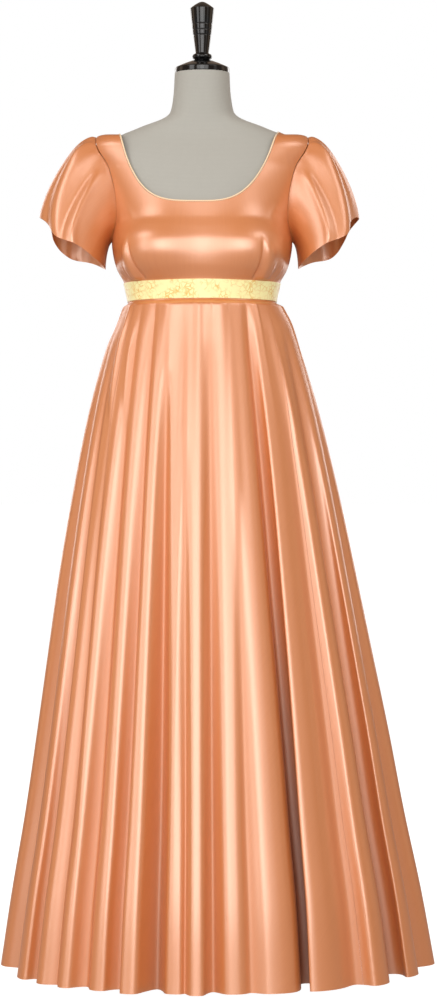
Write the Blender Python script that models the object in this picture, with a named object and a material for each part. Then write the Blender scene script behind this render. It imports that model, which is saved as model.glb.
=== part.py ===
"""Regency gown of peach satin, worn by a limbless dress form on a pole stand.

Metres, +Z up. The front faces -Y and +X is the wearer's left. The origin is on the floor, under the
pole. Angles are in degrees round the pole: 0 at the centre front, 90 at the wearer's left side, 180 at
the centre back. Each cloth piece is a closed wall: a function places a point of the cloth, and a grid
of such points is built at the inner and at the outer face.
"""
import math
from collections import namedtuple

import bmesh
import bpy
from mathutils import Vector

# Cloth and clearances
CLOTH = 0.0018
RIBBON_THICKNESS = 0.0012
SEAM_GAP = 0.0003

# Heights above the floor
HEM = 0.020
RIBBON_BOTTOM = 1.109
WAIST_SEAM = 1.1245
RIBBON_TOP = 1.1396
UNDERARM = 1.207
SHOULDER_TIP = 1.3635
TORSO_BOTTOM = 0.700
SHOULDER_LINE = 1.405

# Neckline: a wide scoop, worn a little to the wearer's right (side -1)
FRONT_NECK_BOTTOM = 1.262
BACK_NECK_BOTTOM = 1.330
NECK_REACH = {-1: 0.1385, 1: 0.1275}
NECK_POWER = {-1: 4.2, 1: 3.1}
BACK_NECK_POWER = 2.6
PIPING_RADIUS = 0.0013

# Armhole: an oval in the side view
ARMHOLE_HALF_DEPTH = 0.045

# Bust of the form, and the darts that shape the bodice over it
BODY_POWER = 2.2
BUST_ANGLE = 42.0
BUST_LEVEL = 1.188
BUST_SPREAD_ANGLE = 24.0
BUST_SPREAD_HEIGHT = 0.040
BUST_FULLNESS = 0.017
DART_ANGLE = 48.0
DART_TOP = 1.203
DART_WIDTH = 4.0
DART_DEPTH = 0.0018

# Sleeves: gathers over the head, soft waves at the hem
SLEEVE_SEAM_LENGTH = 0.008
SLEEVE_HEAD_LENGTH = 0.034
SLEEVE_HEM_DROP = 0.012
SLEEVE_HEAD_DROP = 0.040
GATHER_PERIOD = 22.0
GATHER_REACH = 84.0
GATHER_DEPTH = 0.0032
SLEEVE_WAVE_DEPTH = 0.005
SLEEVE_WAVES = 5
SLEEVE_RISE = 0.40
SLEEVE_FULLNESS = 0.35

# Skirt: shape of its sections and the gathers under the ribbon
SKIRT_POWER = 2.1
GATHERS_PER_FOLD = 2
SKIRT_GATHER_SHARE = 0.16
SKIRT_GATHER_BELOW = 0.020
SKIRT_GATHER_FADE = 0.075
SKIRT_FLARE_START = 1.1083
SKIRT_FLARE_END = 1.0985
FOLD_TURN_POWER = 2.0

# Dress form: turned neck cap and finial, pole and base
POLE_RADIUS = 0.0125
BASE_RADIUS = 0.140
BASE_TOP = 0.034

Section = namedtuple("Section", "height half_width front back")
TORSO_SECTIONS = (
    Section(1.4855, 0.0452, 0.0445, 0.0455),
    Section(1.4550, 0.0468, 0.0450, 0.0470),
    Section(1.4388, 0.0487, 0.0455, 0.0480),
    Section(1.4280, 0.0507, 0.0460, 0.0492),
    Section(1.4190, 0.0540, 0.0463, 0.0502),
    Section(1.4120, 0.0620, 0.0466, 0.0512),
    Section(1.4060, 0.0750, 0.0470, 0.0522),
    Section(1.3990, 0.0950, 0.0476, 0.0540),
    Section(1.3920, 0.1125, 0.0486, 0.0560),
    Section(1.3850, 0.1300, 0.0500, 0.0590),
    Section(1.3780, 0.1440, 0.0525, 0.0630),
    Section(1.3700, 0.1565, 0.0560, 0.0685),
    Section(1.3600, 0.1655, 0.0615, 0.0770),
    Section(1.3480, 0.1690, 0.0680, 0.0850),
    Section(1.3300, 0.1670, 0.0765, 0.0940),
    Section(1.3050, 0.1590, 0.0865, 0.1010),
    Section(1.2800, 0.1505, 0.0940, 0.1040),
    Section(1.2400, 0.1415, 0.1030, 0.1040),
    Section(1.2000, 0.1370, 0.1070, 0.1010),
    Section(1.1700, 0.1320, 0.1060, 0.0970),
    Section(1.1400, 0.1235, 0.1020, 0.0920),
    Section(1.1100, 0.1170, 0.0970, 0.0880),
    Section(1.0800, 0.1135, 0.0940, 0.0850),
    Section(1.0300, 0.1130, 0.0940, 0.0850),
    Section(0.9800, 0.1260, 0.1000, 0.0980),
    Section(0.9200, 0.1480, 0.1060, 0.1180),
    Section(0.8500, 0.1630, 0.1080, 0.1310),
    Section(0.7800, 0.1620, 0.1050, 0.1280),
    Section(0.7000, 0.1520, 0.0970, 0.1160),
)

# Room between the form and the inner face of the bodice
Ease = namedtuple("Ease", "height room")
BODICE_EASE = (
    Ease(1.4000, 0.0040),
    Ease(1.3300, 0.0040),
    Ease(1.2800, 0.0042),
    Ease(1.2400, 0.0045),
    Ease(1.2000, 0.0062),
    Ease(1.1650, 0.0070),
    Ease(1.1430, 0.0034),
    Ease(1.1300, 0.0032),
    Ease(1.1000, 0.0030),
)

# Outermost reach of the skirt's folds at each height
SkirtSection = namedtuple("SkirtSection", "height right left front back")
SKIRT_SECTIONS = (
    SkirtSection(1.0985, 0.129, 0.134, 0.112, 0.104),
    SkirtSection(1.0700, 0.140, 0.149, 0.124, 0.122),
    SkirtSection(1.0300, 0.158, 0.162, 0.138, 0.142),
    SkirtSection(0.9300, 0.186, 0.192, 0.165, 0.174),
    SkirtSection(0.8000, 0.212, 0.224, 0.192, 0.203),
    SkirtSection(0.6650, 0.235, 0.253, 0.217, 0.230),
    SkirtSection(0.5300, 0.254, 0.281, 0.240, 0.255),
    SkirtSection(0.4000, 0.272, 0.308, 0.262, 0.279),
    SkirtSection(0.2700, 0.291, 0.333, 0.282, 0.301),
    SkirtSection(0.1400, 0.313, 0.361, 0.298, 0.320),
    SkirtSection(0.0200, 0.331, 0.383, 0.312, 0.335),
)

# Each fold is a crest and the trough after it, going from the wearer's right round the front.
# Angles are at the waist and at the hem. Insets are how far the crest and the trough lie inside the
# section at the hem, the leans are how far the two flanks hang over the trough, and begin is where
# the fold starts, as a share of the way down.
Fold = namedtuple(
    "Fold", "waist hem crest_inset trough_waist trough_hem trough_inset lean_in lean_out begin"
)
FOLDS = (
    Fold(-73, -61.0, 0.000, -69.5, -53.0, 0.058, 0.3, 1.8, 0.10),
    Fold(-65, -49.5, 0.000, -61.5, -46.5, 0.022, 0.0, 0.0, 0.15),
    Fold(-58, -43.0, 0.002, -53.5, -37.5, 0.060, 1.8, 0.2, 0.00),
    Fold(-47, -31.5, 0.030, -40.0, -26.5, 0.060, 0.2, 1.5, 0.00),
    Fold(-33, -21.5, 0.000, -26.5, -12.5, 0.066, 0.6, 0.6, 0.00),
    Fold(-21, -7.2, 0.020, -13.0, -4.9, 0.026, 0.0, 0.0, 0.20),
    Fold(-5, -1.8, 0.000, 6.0, 3.9, 0.044, 0.5, 0.2, 0.00),
    Fold(17, 8.6, 0.016, 22.0, 13.7, 0.034, 0.0, 0.2, 0.22),
    Fold(27, 19.8, 0.006, 36.0, 30.4, 0.076, 0.4, 2.0, 0.00),
    Fold(44, 33.5, 0.008, 50.5, 43.0, 0.034, 0.0, 0.2, 0.05),
    Fold(58, 51.0, 0.000, 67.0, 59.2, 0.074, 2.1, 0.4, 0.05),
    Fold(75, 69.0, 0.008, 82.0, 79.0, 0.036, 0.3, 0.3, 0.10),
    Fold(89, 88.5, 0.000, 97.0, 97.5, 0.050, 1.2, 0.3, 0.00),
    Fold(106, 107.0, 0.006, 114.0, 116.0, 0.042, 0.2, 1.0, 0.08),
    Fold(122, 125.0, 0.000, 131.0, 133.5, 0.056, 1.0, 0.4, 0.00),
    Fold(139, 142.0, 0.004, 147.0, 150.0, 0.046, 0.3, 0.3, 0.12),
    Fold(155, 158.5, 0.000, 163.0, 167.0, 0.062, 1.5, 0.3, 0.00),
    Fold(171, 174.0, 0.008, 180.0, 180.0, 0.050, 0.4, 0.4, 0.05),
    Fold(189, 188.0, 0.002, 197.0, 196.0, 0.060, 0.3, 1.4, 0.00),
    Fold(205, 205.0, 0.000, 213.0, 213.5, 0.046, 0.9, 0.2, 0.10),
    Fold(221, 222.5, 0.006, 229.0, 231.0, 0.058, 0.3, 1.2, 0.00),
    Fold(237, 240.0, 0.000, 246.0, 249.0, 0.048, 0.8, 0.4, 0.06),
    Fold(254, 257.5, 0.006, 262.0, 266.0, 0.044, 0.4, 0.4, 0.00),
    Fold(270, 273.5, 0.000, 279.0, 285.5, 0.046, 0.8, 0.4, 0.05),
)
COLUMNS_PER_FOLD = 8
SKIRT_TOP = WAIST_SEAM - SEAM_GAP
SKIRT_ROWS = (SKIRT_TOP, SKIRT_FLARE_START, 1.099, 1.068, 1.012, 0.92, 0.78, 0.58, 0.32, HEM)

# Gores of the skirt, from seam to seam, counted in folds. Front and side meet beside a trough.
Gore = namedtuple("Gore", "name first last")
GORES = (
    Gore("skirt_front", 1.5, 9.625),
    Gore("skirt_side_front_left", 9.625, 12.5),
    Gore("skirt_side_back_left", 12.5, 14.5),
    Gore("skirt_back_left", 14.5, 17.5),
    Gore("skirt_back_right", 17.5, 20.5),
    Gore("skirt_side_back_right", 20.5, 22.5),
    Gore("skirt_side_front_right", 22.5, 25.5),
)

# Hem ring of each sleeve: its outermost and innermost points, and half its depth front to back
SleeveHem = namedtuple("SleeveHem", "name side outer_x outer_z inner_x inner_z half_depth")
SLEEVE_HEMS = (
    SleeveHem("sleeve_left", 1, 0.254, 1.2500, 0.1580, 1.1640, 0.086),
    SleeveHem("sleeve_right", -1, 0.263, 1.2500, 0.1590, 1.1630, 0.088),
)

# Turned profiles, from the bottom up: radius and height
TurnPoint = namedtuple("TurnPoint", "radius height")
CAP_PROFILE = (
    TurnPoint(0.0442, 1.4858),
    TurnPoint(0.0448, 1.4866),
    TurnPoint(0.0448, 1.4936),
    TurnPoint(0.0436, 1.4952),
    TurnPoint(0.0300, 1.5014),
    TurnPoint(0.0190, 1.5056),
    TurnPoint(0.0142, 1.5070),
)
FINIAL_PROFILE = (
    TurnPoint(0.0128, 1.5073),
    TurnPoint(0.0136, 1.5090),
    TurnPoint(0.0160, 1.5112),
    TurnPoint(0.0166, 1.5136),
    TurnPoint(0.0158, 1.5160),
    TurnPoint(0.0126, 1.5178),
    TurnPoint(0.0110, 1.5190),
    TurnPoint(0.0146, 1.5474),
    TurnPoint(0.0141, 1.5484),
    TurnPoint(0.0151, 1.5496),
    TurnPoint(0.0160, 1.5562),
    TurnPoint(0.0154, 1.5572),
    TurnPoint(0.0162, 1.5582),
    TurnPoint(0.0169, 1.5658),
    TurnPoint(0.0163, 1.5668),
    TurnPoint(0.0171, 1.5678),
    TurnPoint(0.0198, 1.5930),
    TurnPoint(0.0120, 1.5990),
    TurnPoint(0.0052, 1.6030),
    TurnPoint(0.0020, 1.6040),
)
BASE_PROFILE = (
    TurnPoint(BASE_RADIUS, 0.0),
    TurnPoint(BASE_RADIUS, 0.008),
    TurnPoint(BASE_RADIUS - 0.006, 0.014),
    TurnPoint(0.060, 0.021),
    TurnPoint(0.034, 0.026),
    TurnPoint(0.026, BASE_TOP),
)
POLE_PROFILE = (
    TurnPoint(POLE_RADIUS, BASE_TOP + SEAM_GAP),
    TurnPoint(POLE_RADIUS, TORSO_BOTTOM - SEAM_GAP),
)


def smooth_value(rows, height, column):
    """One column of a table of heights, highest first, read at any height along a smooth curve."""
    height = min(max(height, rows[-1].height), rows[0].height)
    last = len(rows) - 1
    lower = next(i for i in range(1, last + 1) if height >= rows[i].height)

    def slope(index):
        above = rows[max(index - 1, 0)]
        below = rows[min(index + 1, last)]
        return (getattr(below, column) - getattr(above, column)) / (below.height - above.height)

    start = rows[lower - 1]
    end = rows[lower]
    span = end.height - start.height
    t = (height - start.height) / span
    value = getattr(start, column) * (1 + 2 * t) * (1 - t) ** 2
    value += getattr(end, column) * t * t * (3 - 2 * t)
    value += span * t * (1 - t) * (slope(lower - 1) * (1 - t) - slope(lower) * t)
    return value


def smooth_step(start, end, value):
    """0 before start, 1 after end, and an even turn between them."""
    t = min(max((value - start) / (end - start), 0.0), 1.0)
    return t * t * (3 - 2 * t)


def bell(value, spread):
    return math.exp(-((value / spread) ** 2))


def signed_angle(angle):
    """The same direction as an angle from -180 to 180."""
    return (angle + 180.0) % 360.0 - 180.0


def ring_point(angle, height, half_width, depth, power, push=0.0):
    """Point of a rounded section, at a direction from its centre."""
    sine = math.sin(math.radians(angle))
    cosine = math.cos(math.radians(angle))
    radius = (abs(sine / half_width) ** power + abs(cosine / depth) ** power) ** (-1 / power)
    return Vector(((radius + push) * sine, -(radius + push) * cosine, height))


def along_normal(surface, u, v, distance, step_u, step_v):
    """A surface's point, moved out square to the surface, whose slope is read over small steps."""
    across = surface(u + step_u, v) - surface(u - step_u, v)
    down = surface(u, v - step_v) - surface(u, v + step_v)
    return surface(u, v) + down.cross(across).normalized() * distance


def make_material(name, colour, roughness, metallic=0.0):
    material = bpy.data.materials.new(name)
    material.use_nodes = True
    shader = material.node_tree.nodes["Principled BSDF"]
    shader.inputs["Base Color"].default_value = (*colour, 1.0)
    shader.inputs["Roughness"].default_value = roughness
    shader.inputs["Metallic"].default_value = metallic
    return material


def finish(shape, name, material, sharp_angle=50.0):
    """A named, smooth-shaded object from a bmesh."""
    bmesh.ops.recalc_face_normals(shape, faces=shape.faces)
    mesh = bpy.data.meshes.new(name)
    shape.to_mesh(mesh)
    shape.free()
    mesh.materials.append(material)
    mesh.shade_smooth()
    mesh.set_sharp_from_angle(angle=math.radians(sharp_angle))
    piece = bpy.data.objects.new(name, mesh)
    bpy.context.scene.collection.objects.link(piece)
    return piece


def cloth_wall(name, material, place, columns, rows, thickness=CLOTH, closed=False):
    """A wall of cloth over a grid: place(column, row, lift) gives a point, lifted off the inner face."""
    shape = bmesh.new()
    inner, outer = (
        [[shape.verts.new(place(column, row, lift)) for row in rows] for column in columns]
        for lift in (0.0, thickness)
    )
    count = len(columns)
    for i in range(count if closed else count - 1):
        j = (i + 1) % count
        for k in range(len(rows) - 1):
            shape.faces.new((outer[i][k], outer[j][k], outer[j][k + 1], outer[i][k + 1]))
            shape.faces.new((inner[i][k + 1], inner[j][k + 1], inner[j][k], inner[i][k]))
        for edge in (0, -1):
            shape.faces.new((outer[i][edge], inner[i][edge], inner[j][edge], outer[j][edge]))
    if not closed:
        for side in (0, -1):
            for k in range(len(rows) - 1):
                shape.faces.new(
                    (outer[side][k], outer[side][k + 1], inner[side][k + 1], inner[side][k])
                )
    return finish(shape, name, material)


def turned_piece(name, material, profile, sides):
    """A solid turned round the Z axis from radii and heights, closed flat at both ends."""
    shape = bmesh.new()
    rings = []
    for point in profile:
        ring = []
        for step in range(sides):
            turn = 2 * math.pi * step / sides
            place = (point.radius * math.sin(turn), -point.radius * math.cos(turn), point.height)
            ring.append(shape.verts.new(place))
        rings.append(ring)
    bridge_rings(shape, rings)
    return finish(shape, name, material, sharp_angle=35.0)


def bridge_rings(shape, rings):
    """Faces between closed rings of equal count, with a flat face over the first and the last."""
    count = len(rings[0])
    for lower, upper in zip(rings, rings[1:]):
        for i in range(count):
            j = (i + 1) % count
            shape.faces.new((lower[i], lower[j], upper[j], upper[i]))
    shape.faces.new(rings[0])
    shape.faces.new(rings[-1])


# ---- form torso -------------------------------------------------------------------------------
TORSO_COLUMNS = 36
TORSO_ROWS = tuple(section.height for section in TORSO_SECTIONS)
ANGLE_STEP = 0.5
HEIGHT_STEP = 0.0005


def body_point(angle, height):
    """Surface of the form's torso."""
    turn = signed_angle(angle)
    half_width = smooth_value(TORSO_SECTIONS, height, "half_width")
    depth = smooth_value(TORSO_SECTIONS, height, "front" if abs(turn) < 90.0 else "back")
    bust = bell(turn - BUST_ANGLE, BUST_SPREAD_ANGLE) + bell(turn + BUST_ANGLE, BUST_SPREAD_ANGLE)
    push = BUST_FULLNESS * bust * bell(height - BUST_LEVEL, BUST_SPREAD_HEIGHT)
    return ring_point(angle, height, half_width, depth, BODY_POWER, push)


def off_body(angle, height, distance):
    """A point at a distance from the torso."""
    return along_normal(body_point, angle, height, distance, ANGLE_STEP, HEIGHT_STEP)


def make_torso(linen):
    shape = bmesh.new()
    rings = []
    for height in reversed(TORSO_ROWS):
        turns = (360.0 * step / TORSO_COLUMNS for step in range(TORSO_COLUMNS))
        rings.append([shape.verts.new(body_point(turn, height)) for turn in turns])
    bridge_rings(shape, rings)
    finish(shape, "form_torso", linen)


# ---- bodice -----------------------------------------------------------------------------------
BODICE_ROWS = (-1.0, 0.0, 0.14, 0.28, 0.42, 0.56, 0.70, 0.82, 0.92, 1.0)
BODICE_OUT = RIBBON_TOP + 0.001

# Columns of each half panel, from its middle to the side seam. They start at a bottom angle and end at
# a direction on the neckline, or at a turn round the armhole. Bend and rise curve them up the strap.
PanelColumn = namedtuple("PanelColumn", "end bottom bend rise")
NECK_COLUMNS = (
    PanelColumn(0, 0.0, 1.5, 1.0),
    PanelColumn(15, 10.0, 1.5, 1.0),
    PanelColumn(30, 20.0, 1.5, 1.0),
    PanelColumn(45, 30.0, 1.5, 1.0),
    PanelColumn(54, 36.0, 1.5, 1.0),
    PanelColumn(63, 42.0, 1.5, 1.0),
    PanelColumn(72, 48.0, 1.5, 1.0),
    PanelColumn(81, 54.0, 1.9, 1.15),
    PanelColumn(90, 61.0, 3.0, 1.3),
)
ARMHOLE_COLUMNS = (
    PanelColumn(0, 66.0, 3.0, 1.8),
    PanelColumn(20, 68.0, 3.0, 1.7),
    PanelColumn(40, 69.3, 2.9, 1.5),
    PanelColumn(60, 69.8, 3.5, 1.3),
    PanelColumn(80, 70.3, 3.0, 1.1),
    PanelColumn(100, 72.5, 1.5, 1.0),
    PanelColumn(120, 76.7, 1.5, 1.0),
    PanelColumn(140, 81.1, 1.5, 1.0),
    PanelColumn(160, 85.6, 1.5, 1.0),
    PanelColumn(180, 90.0, 1.5, 1.0),
)
SIDE_SEAM_RADIUS = 0.140
SIDE_TRIM = math.degrees(0.5 * SEAM_GAP / SIDE_SEAM_RADIUS)


def bodice_lift(angle, height):
    """Distance from the form to the inner face of the bodice, less along the darts."""
    room = smooth_value(BODICE_EASE, height, "room")
    crease = bell(abs(signed_angle(angle)) - DART_ANGLE, DART_WIDTH)
    return room - DART_DEPTH * crease * smooth_step(DART_TOP, WAIST_SEAM, height)


def on_bodice(angle, height, lift):
    return off_body(angle, height, bodice_lift(angle, height) + lift)


def armhole_edge(turn, side, towards_front, shrink=0.0):
    """Angle and height on the armhole; turn is 0 at the shoulder and 180 at the underarm."""
    half_height = 0.5 * (SHOULDER_TIP - UNDERARM) - shrink
    height = 0.5 * (SHOULDER_TIP + UNDERARM) + half_height * math.cos(math.radians(turn))
    y = (ARMHOLE_HALF_DEPTH - shrink) * math.sin(math.radians(turn))
    half_width = smooth_value(TORSO_SECTIONS, height, "half_width")
    depth = smooth_value(TORSO_SECTIONS, height, "front" if towards_front else "back")
    x = half_width * (1 - (y / depth) ** BODY_POWER) ** (1 / BODY_POWER)
    angle = math.degrees(math.atan2(x, y))
    return side * (angle if towards_front else 180.0 - angle), height


def halve(low, high, is_low):
    """The value between low and high where is_low turns from true to false."""
    for _ in range(24):
        middle = 0.5 * (low + high)
        if is_low(middle):
            low = middle
        else:
            high = middle
    return low


def angle_at(x, height, towards_front):
    """Direction in which the bodice, at a height, lies a distance x from the middle plane."""

    def is_short(turn):
        return on_bodice(turn if towards_front else 180.0 - turn, height, CLOTH).x < abs(x)

    angle = halve(0.0, 90.0, is_short)
    return angle if towards_front else 180.0 - angle


def neck_corner(side):
    """Height of the shoulder seam's inner end, where the neckline crosses the shoulder ridge."""

    def is_inside(height):
        return on_bodice(90.0, height, CLOTH).x < NECK_REACH[side]

    return halve(SHOULDER_LINE, SHOULDER_TIP, is_inside)


NECK_CORNER = {}


def neckline(share, side, towards_front):
    """Angle and height on the neckline; share is 0 at its middle, front or back, and 1 at the shoulder."""
    if side not in NECK_CORNER:
        NECK_CORNER[side] = neck_corner(side)
    if share > 0.9999:
        return side * 90.0, NECK_CORNER[side]
    bottom = FRONT_NECK_BOTTOM if towards_front else BACK_NECK_BOTTOM
    power = NECK_POWER[side] if towards_front else BACK_NECK_POWER
    height = bottom + (NECK_CORNER[side] - bottom) * share**power
    return side * angle_at(NECK_REACH[side] * share, height, towards_front), height


def neckline_towards(angle, side, towards_front):
    """Angle and height where the neckline lies in a direction, 0 to 90 from the middle plane."""

    def is_short(share):
        reached = abs(neckline(share, side, towards_front)[0])
        return (reached if towards_front else 180.0 - reached) < angle

    if angle == 0:
        return (0.0 if towards_front else side * 180.0), neckline(0.0, side, towards_front)[1]
    return neckline(1.0 if angle == 90 else halve(0.0, 1.0, is_short), side, towards_front)


def half_columns(side, towards_front):
    """Columns of one half of the front or back, each with its bottom angle and its top point."""
    columns = []
    for column in NECK_COLUMNS:
        columns.append((column, neckline_towards(column.end, side, towards_front)))
    for column in ARMHOLE_COLUMNS:
        columns.append((column, armhole_edge(column.end, side, towards_front)))
    if towards_front:
        return [(side * column.bottom, column, top) for column, top in columns]
    return [(side * (180.0 - column.bottom), column, top) for column, top in columns]


def make_bodice_piece(name, satin, columns, low, high):
    """One panel of the bodice, kept between two angles so that its seams stay open a hair."""

    def place(line, row, lift):
        bottom_angle, column, top = line
        if row < 0.0:
            return on_bodice(min(max(bottom_angle, low), high), WAIST_SEAM + SEAM_GAP, lift)
        angle = bottom_angle + (top[0] - bottom_angle) * row**column.bend
        height = BODICE_OUT + (top[1] - BODICE_OUT) * (1 - (1 - row) ** column.rise)
        return on_bodice(min(max(angle, low), high), height, lift)

    cloth_wall(name, satin, place, columns, BODICE_ROWS)


def make_bodice(satin):
    front = half_columns(-1, True)[:0:-1] + half_columns(1, True)
    make_bodice_piece("bodice_front", satin, front, -90.0 + SIDE_TRIM, 90.0 - SIDE_TRIM)
    back = half_columns(1, False)[::-1]
    make_bodice_piece("bodice_back_left", satin, back, 90.0 + SIDE_TRIM, 180.0 - SIDE_TRIM)
    back = half_columns(-1, False)
    make_bodice_piece("bodice_back_right", satin, back, -180.0 + SIDE_TRIM, -90.0 - SIDE_TRIM)


# ---- neck piping ------------------------------------------------------------------------------
PIPING_SIDES = 6


def make_piping(cream):
    """A narrow cord of folded satin on the edge of the neckline, open at the centre back."""
    spokes = [column.end for column in NECK_COLUMNS]
    edge = [neckline_towards(angle, 1, False) for angle in spokes]
    edge += [neckline_towards(angle, 1, True) for angle in spokes[-2::-1]]
    edge += [neckline_towards(angle, -1, True) for angle in spokes[1:]]
    edge += [neckline_towards(angle, -1, False) for angle in spokes[-2::-1]]
    edge[0] = (180.0 - SIDE_TRIM, BACK_NECK_BOTTOM)
    edge[-1] = (-180.0 + SIDE_TRIM, BACK_NECK_BOTTOM)
    middle = [on_bodice(angle, height, 0.5 * CLOTH) for angle, height in edge]
    face = [on_bodice(angle, height, 1.5 * CLOTH) for angle, height in edge]
    shape = bmesh.new()
    rings = []
    for i, point in enumerate(middle):
        along = middle[min(i + 1, len(middle) - 1)] - middle[max(i - 1, 0)]
        if i in (0, len(middle) - 1):
            along = Vector((1.0, 0.0, 0.0))
        outward = (face[i] - point).normalized()
        upward = along.cross(outward).normalized()
        centre = point + upward * (PIPING_RADIUS + SEAM_GAP)
        ring = []
        for step in range(PIPING_SIDES):
            turn = 2 * math.pi * (step + 0.5) / PIPING_SIDES
            spoke = outward * math.cos(turn) + upward * math.sin(turn)
            ring.append(shape.verts.new(centre + spoke * PIPING_RADIUS))
        rings.append(ring)
    bridge_rings(shape, rings)
    finish(shape, "neck_piping", cream)


# ---- waist ribbon -----------------------------------------------------------------------------
RIBBON_COLUMNS = 72
RIBBON_ROWS = (RIBBON_BOTTOM, 0.5 * (RIBBON_BOTTOM + RIBBON_TOP), RIBBON_TOP)


def make_ribbon(gold):
    """The ribbon over the waist seam, its ends meeting at the centre back."""
    reach = 180.0 - SIDE_TRIM
    columns = [-reach + 2 * reach * i / RIBBON_COLUMNS for i in range(RIBBON_COLUMNS + 1)]

    def place(angle, height, lift):
        room = smooth_value(BODICE_EASE, height, "room")
        return off_body(angle, height, room + CLOTH + SEAM_GAP + lift)

    cloth_wall("waist_ribbon", gold, place, columns, RIBBON_ROWS, RIBBON_THICKNESS)


# ---- sleeves ----------------------------------------------------------------------------------
SLEEVE_ROWS = (0.0, 0.09, 0.24, 0.45, 0.72, 1.0)
SLEEVE_HEAD_STEP = 5.5
SLEEVE_HEAD_HALF_COLUMNS = 16
SLEEVE_REST_COLUMNS = 10
ARMHOLE_INSET = 0.0024


def sleeve_point(hem, turn, fall):
    """A sleeve's middle face; turn is 0 over the shoulder, positive to the front; fall is 0 to 1."""
    turn = signed_angle(turn)
    angle, height = armhole_edge(abs(turn), hem.side, turn > 0, ARMHOLE_INSET)
    seam = on_bodice(angle, height, 0.5 * CLOTH)
    outer = Vector((hem.side * hem.outer_x, 0.0, hem.outer_z))
    inner = Vector((hem.side * hem.inner_x, 0.0, hem.inner_z))
    cosine = math.cos(math.radians(turn))
    sine = math.sin(math.radians(turn))
    edge = 0.5 * (outer + inner) + 0.5 * cosine * (outer - inner)
    edge.y = -sine * hem.half_depth
    head = (0.5 + 0.5 * cosine) ** 1.2
    leave = Vector((hem.side, -SLEEVE_FULLNESS * sine, SLEEVE_RISE * head)).normalized()
    leave *= SLEEVE_SEAM_LENGTH + (SLEEVE_HEAD_LENGTH - SLEEVE_SEAM_LENGTH) * head
    arrive = Vector((0.0, 0.0, SLEEVE_HEM_DROP + (SLEEVE_HEAD_DROP - SLEEVE_HEM_DROP) * head))
    point = seam * (1 - fall) ** 3 + (seam + leave) * 3 * fall * (1 - fall) ** 2
    point += (edge + arrive) * 3 * fall**2 * (1 - fall) + edge * fall**3
    spoke = Vector((hem.side * cosine, -sine, 0.0))
    ripple = GATHER_DEPTH * math.cos(math.radians(360.0 * turn / GATHER_PERIOD))
    ripple *= smooth_step(0.0, 0.10, fall) * math.exp(-fall / 0.45)
    ripple *= math.cos(math.radians(90.0 * min(abs(turn) / GATHER_REACH, 1.0))) ** 2
    wave = SLEEVE_WAVE_DEPTH * fall**2 * (0.5 + 0.5 * cosine)
    wave *= math.cos(math.radians(SLEEVE_WAVES * turn + 40.0 * hem.side))
    return point + spoke * (ripple + wave)


def make_sleeve(satin, hem):
    head = [SLEEVE_HEAD_STEP * i for i in range(-SLEEVE_HEAD_HALF_COLUMNS, SLEEVE_HEAD_HALF_COLUMNS + 1)]
    gap = 360.0 - 2 * head[-1]
    rest = [head[-1] + gap * i / SLEEVE_REST_COLUMNS for i in range(1, SLEEVE_REST_COLUMNS)]

    def surface(turn, fall):
        return sleeve_point(hem, turn, fall)

    def place(turn, fall, lift):
        fall = min(max(fall, 0.004), 0.996)
        return along_normal(surface, turn, fall, hem.side * (0.5 * CLOTH - lift), 0.5, 0.004)

    cloth_wall(hem.name, satin, place, head + rest, SLEEVE_ROWS, closed=True)


# ---- skirt ------------------------------------------------------------------------------------
def fold_state(position, fall):
    """Angle, inset and depth share of the skirt at a position counted in folds."""
    count = len(FOLDS)
    index = math.floor(position)
    share = position - index
    fold = FOLDS[index % count]
    after = FOLDS[(index + 1) % count]
    lap = 360.0 * (index // count)
    next_lap = 360.0 * ((index + 1) // count)
    turning = (1 - fall) ** FOLD_TURN_POWER
    crest = lap + fold.hem + (fold.waist - fold.hem) * turning
    trough = lap + fold.trough_hem + (fold.trough_waist - fold.trough_hem) * turning
    next_crest = next_lap + after.hem + (after.waist - after.hem) * turning
    grown = smooth_step(fold.begin - 0.10, 1.0, fall)
    depth = fold.trough_inset * (0.35 * grown + 0.65 * math.sqrt(max(0.0, fall - fold.begin)))
    if share < 0.5:
        way = 2 * share
        angle = crest + (trough - crest) * way + fold.lean_in * fall * math.sin(2 * math.pi * way)
        inset = fold.crest_inset * fall
    else:
        way = 2 - 2 * share
        angle = next_crest + (trough - next_crest) * way
        angle -= fold.lean_out * fall * math.sin(2 * math.pi * way)
        inset = after.crest_inset * fall
    blend = 0.5 - 0.5 * math.cos(math.pi * way)
    return angle, inset + (depth - inset) * blend, next_crest - crest


def skirt_point(position, height):
    """The skirt's outer face."""
    fall = (SKIRT_FLARE_START - height) / (SKIRT_FLARE_START - HEM)
    angle, inset, width = fold_state(position, max(fall, 0.0))
    band_lift = smooth_value(BODICE_EASE, height, "room") + CLOTH
    if height >= SKIRT_FLARE_START:
        return off_body(angle, height, band_lift)
    side = "left" if math.sin(math.radians(angle)) > 0 else "right"
    face = "front" if math.cos(math.radians(angle)) > 0 else "back"
    half_width = smooth_value(SKIRT_SECTIONS, height, side)
    depth = smooth_value(SKIRT_SECTIONS, height, face)
    below = SKIRT_FLARE_START - height
    gather = 0.5 - 0.5 * math.cos(2 * math.pi * GATHERS_PER_FOLD * position)
    gather *= SKIRT_GATHER_SHARE * math.radians(width) * half_width / GATHERS_PER_FOLD
    gather *= bell(below - SKIRT_GATHER_BELOW, SKIRT_GATHER_FADE)
    flared = ring_point(angle, height, half_width, depth, SKIRT_POWER, -inset - gather)
    blend = smooth_step(SKIRT_FLARE_START, SKIRT_FLARE_END, height)
    if blend >= 1.0:
        return flared
    return off_body(angle, height, band_lift).lerp(flared, blend)


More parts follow.
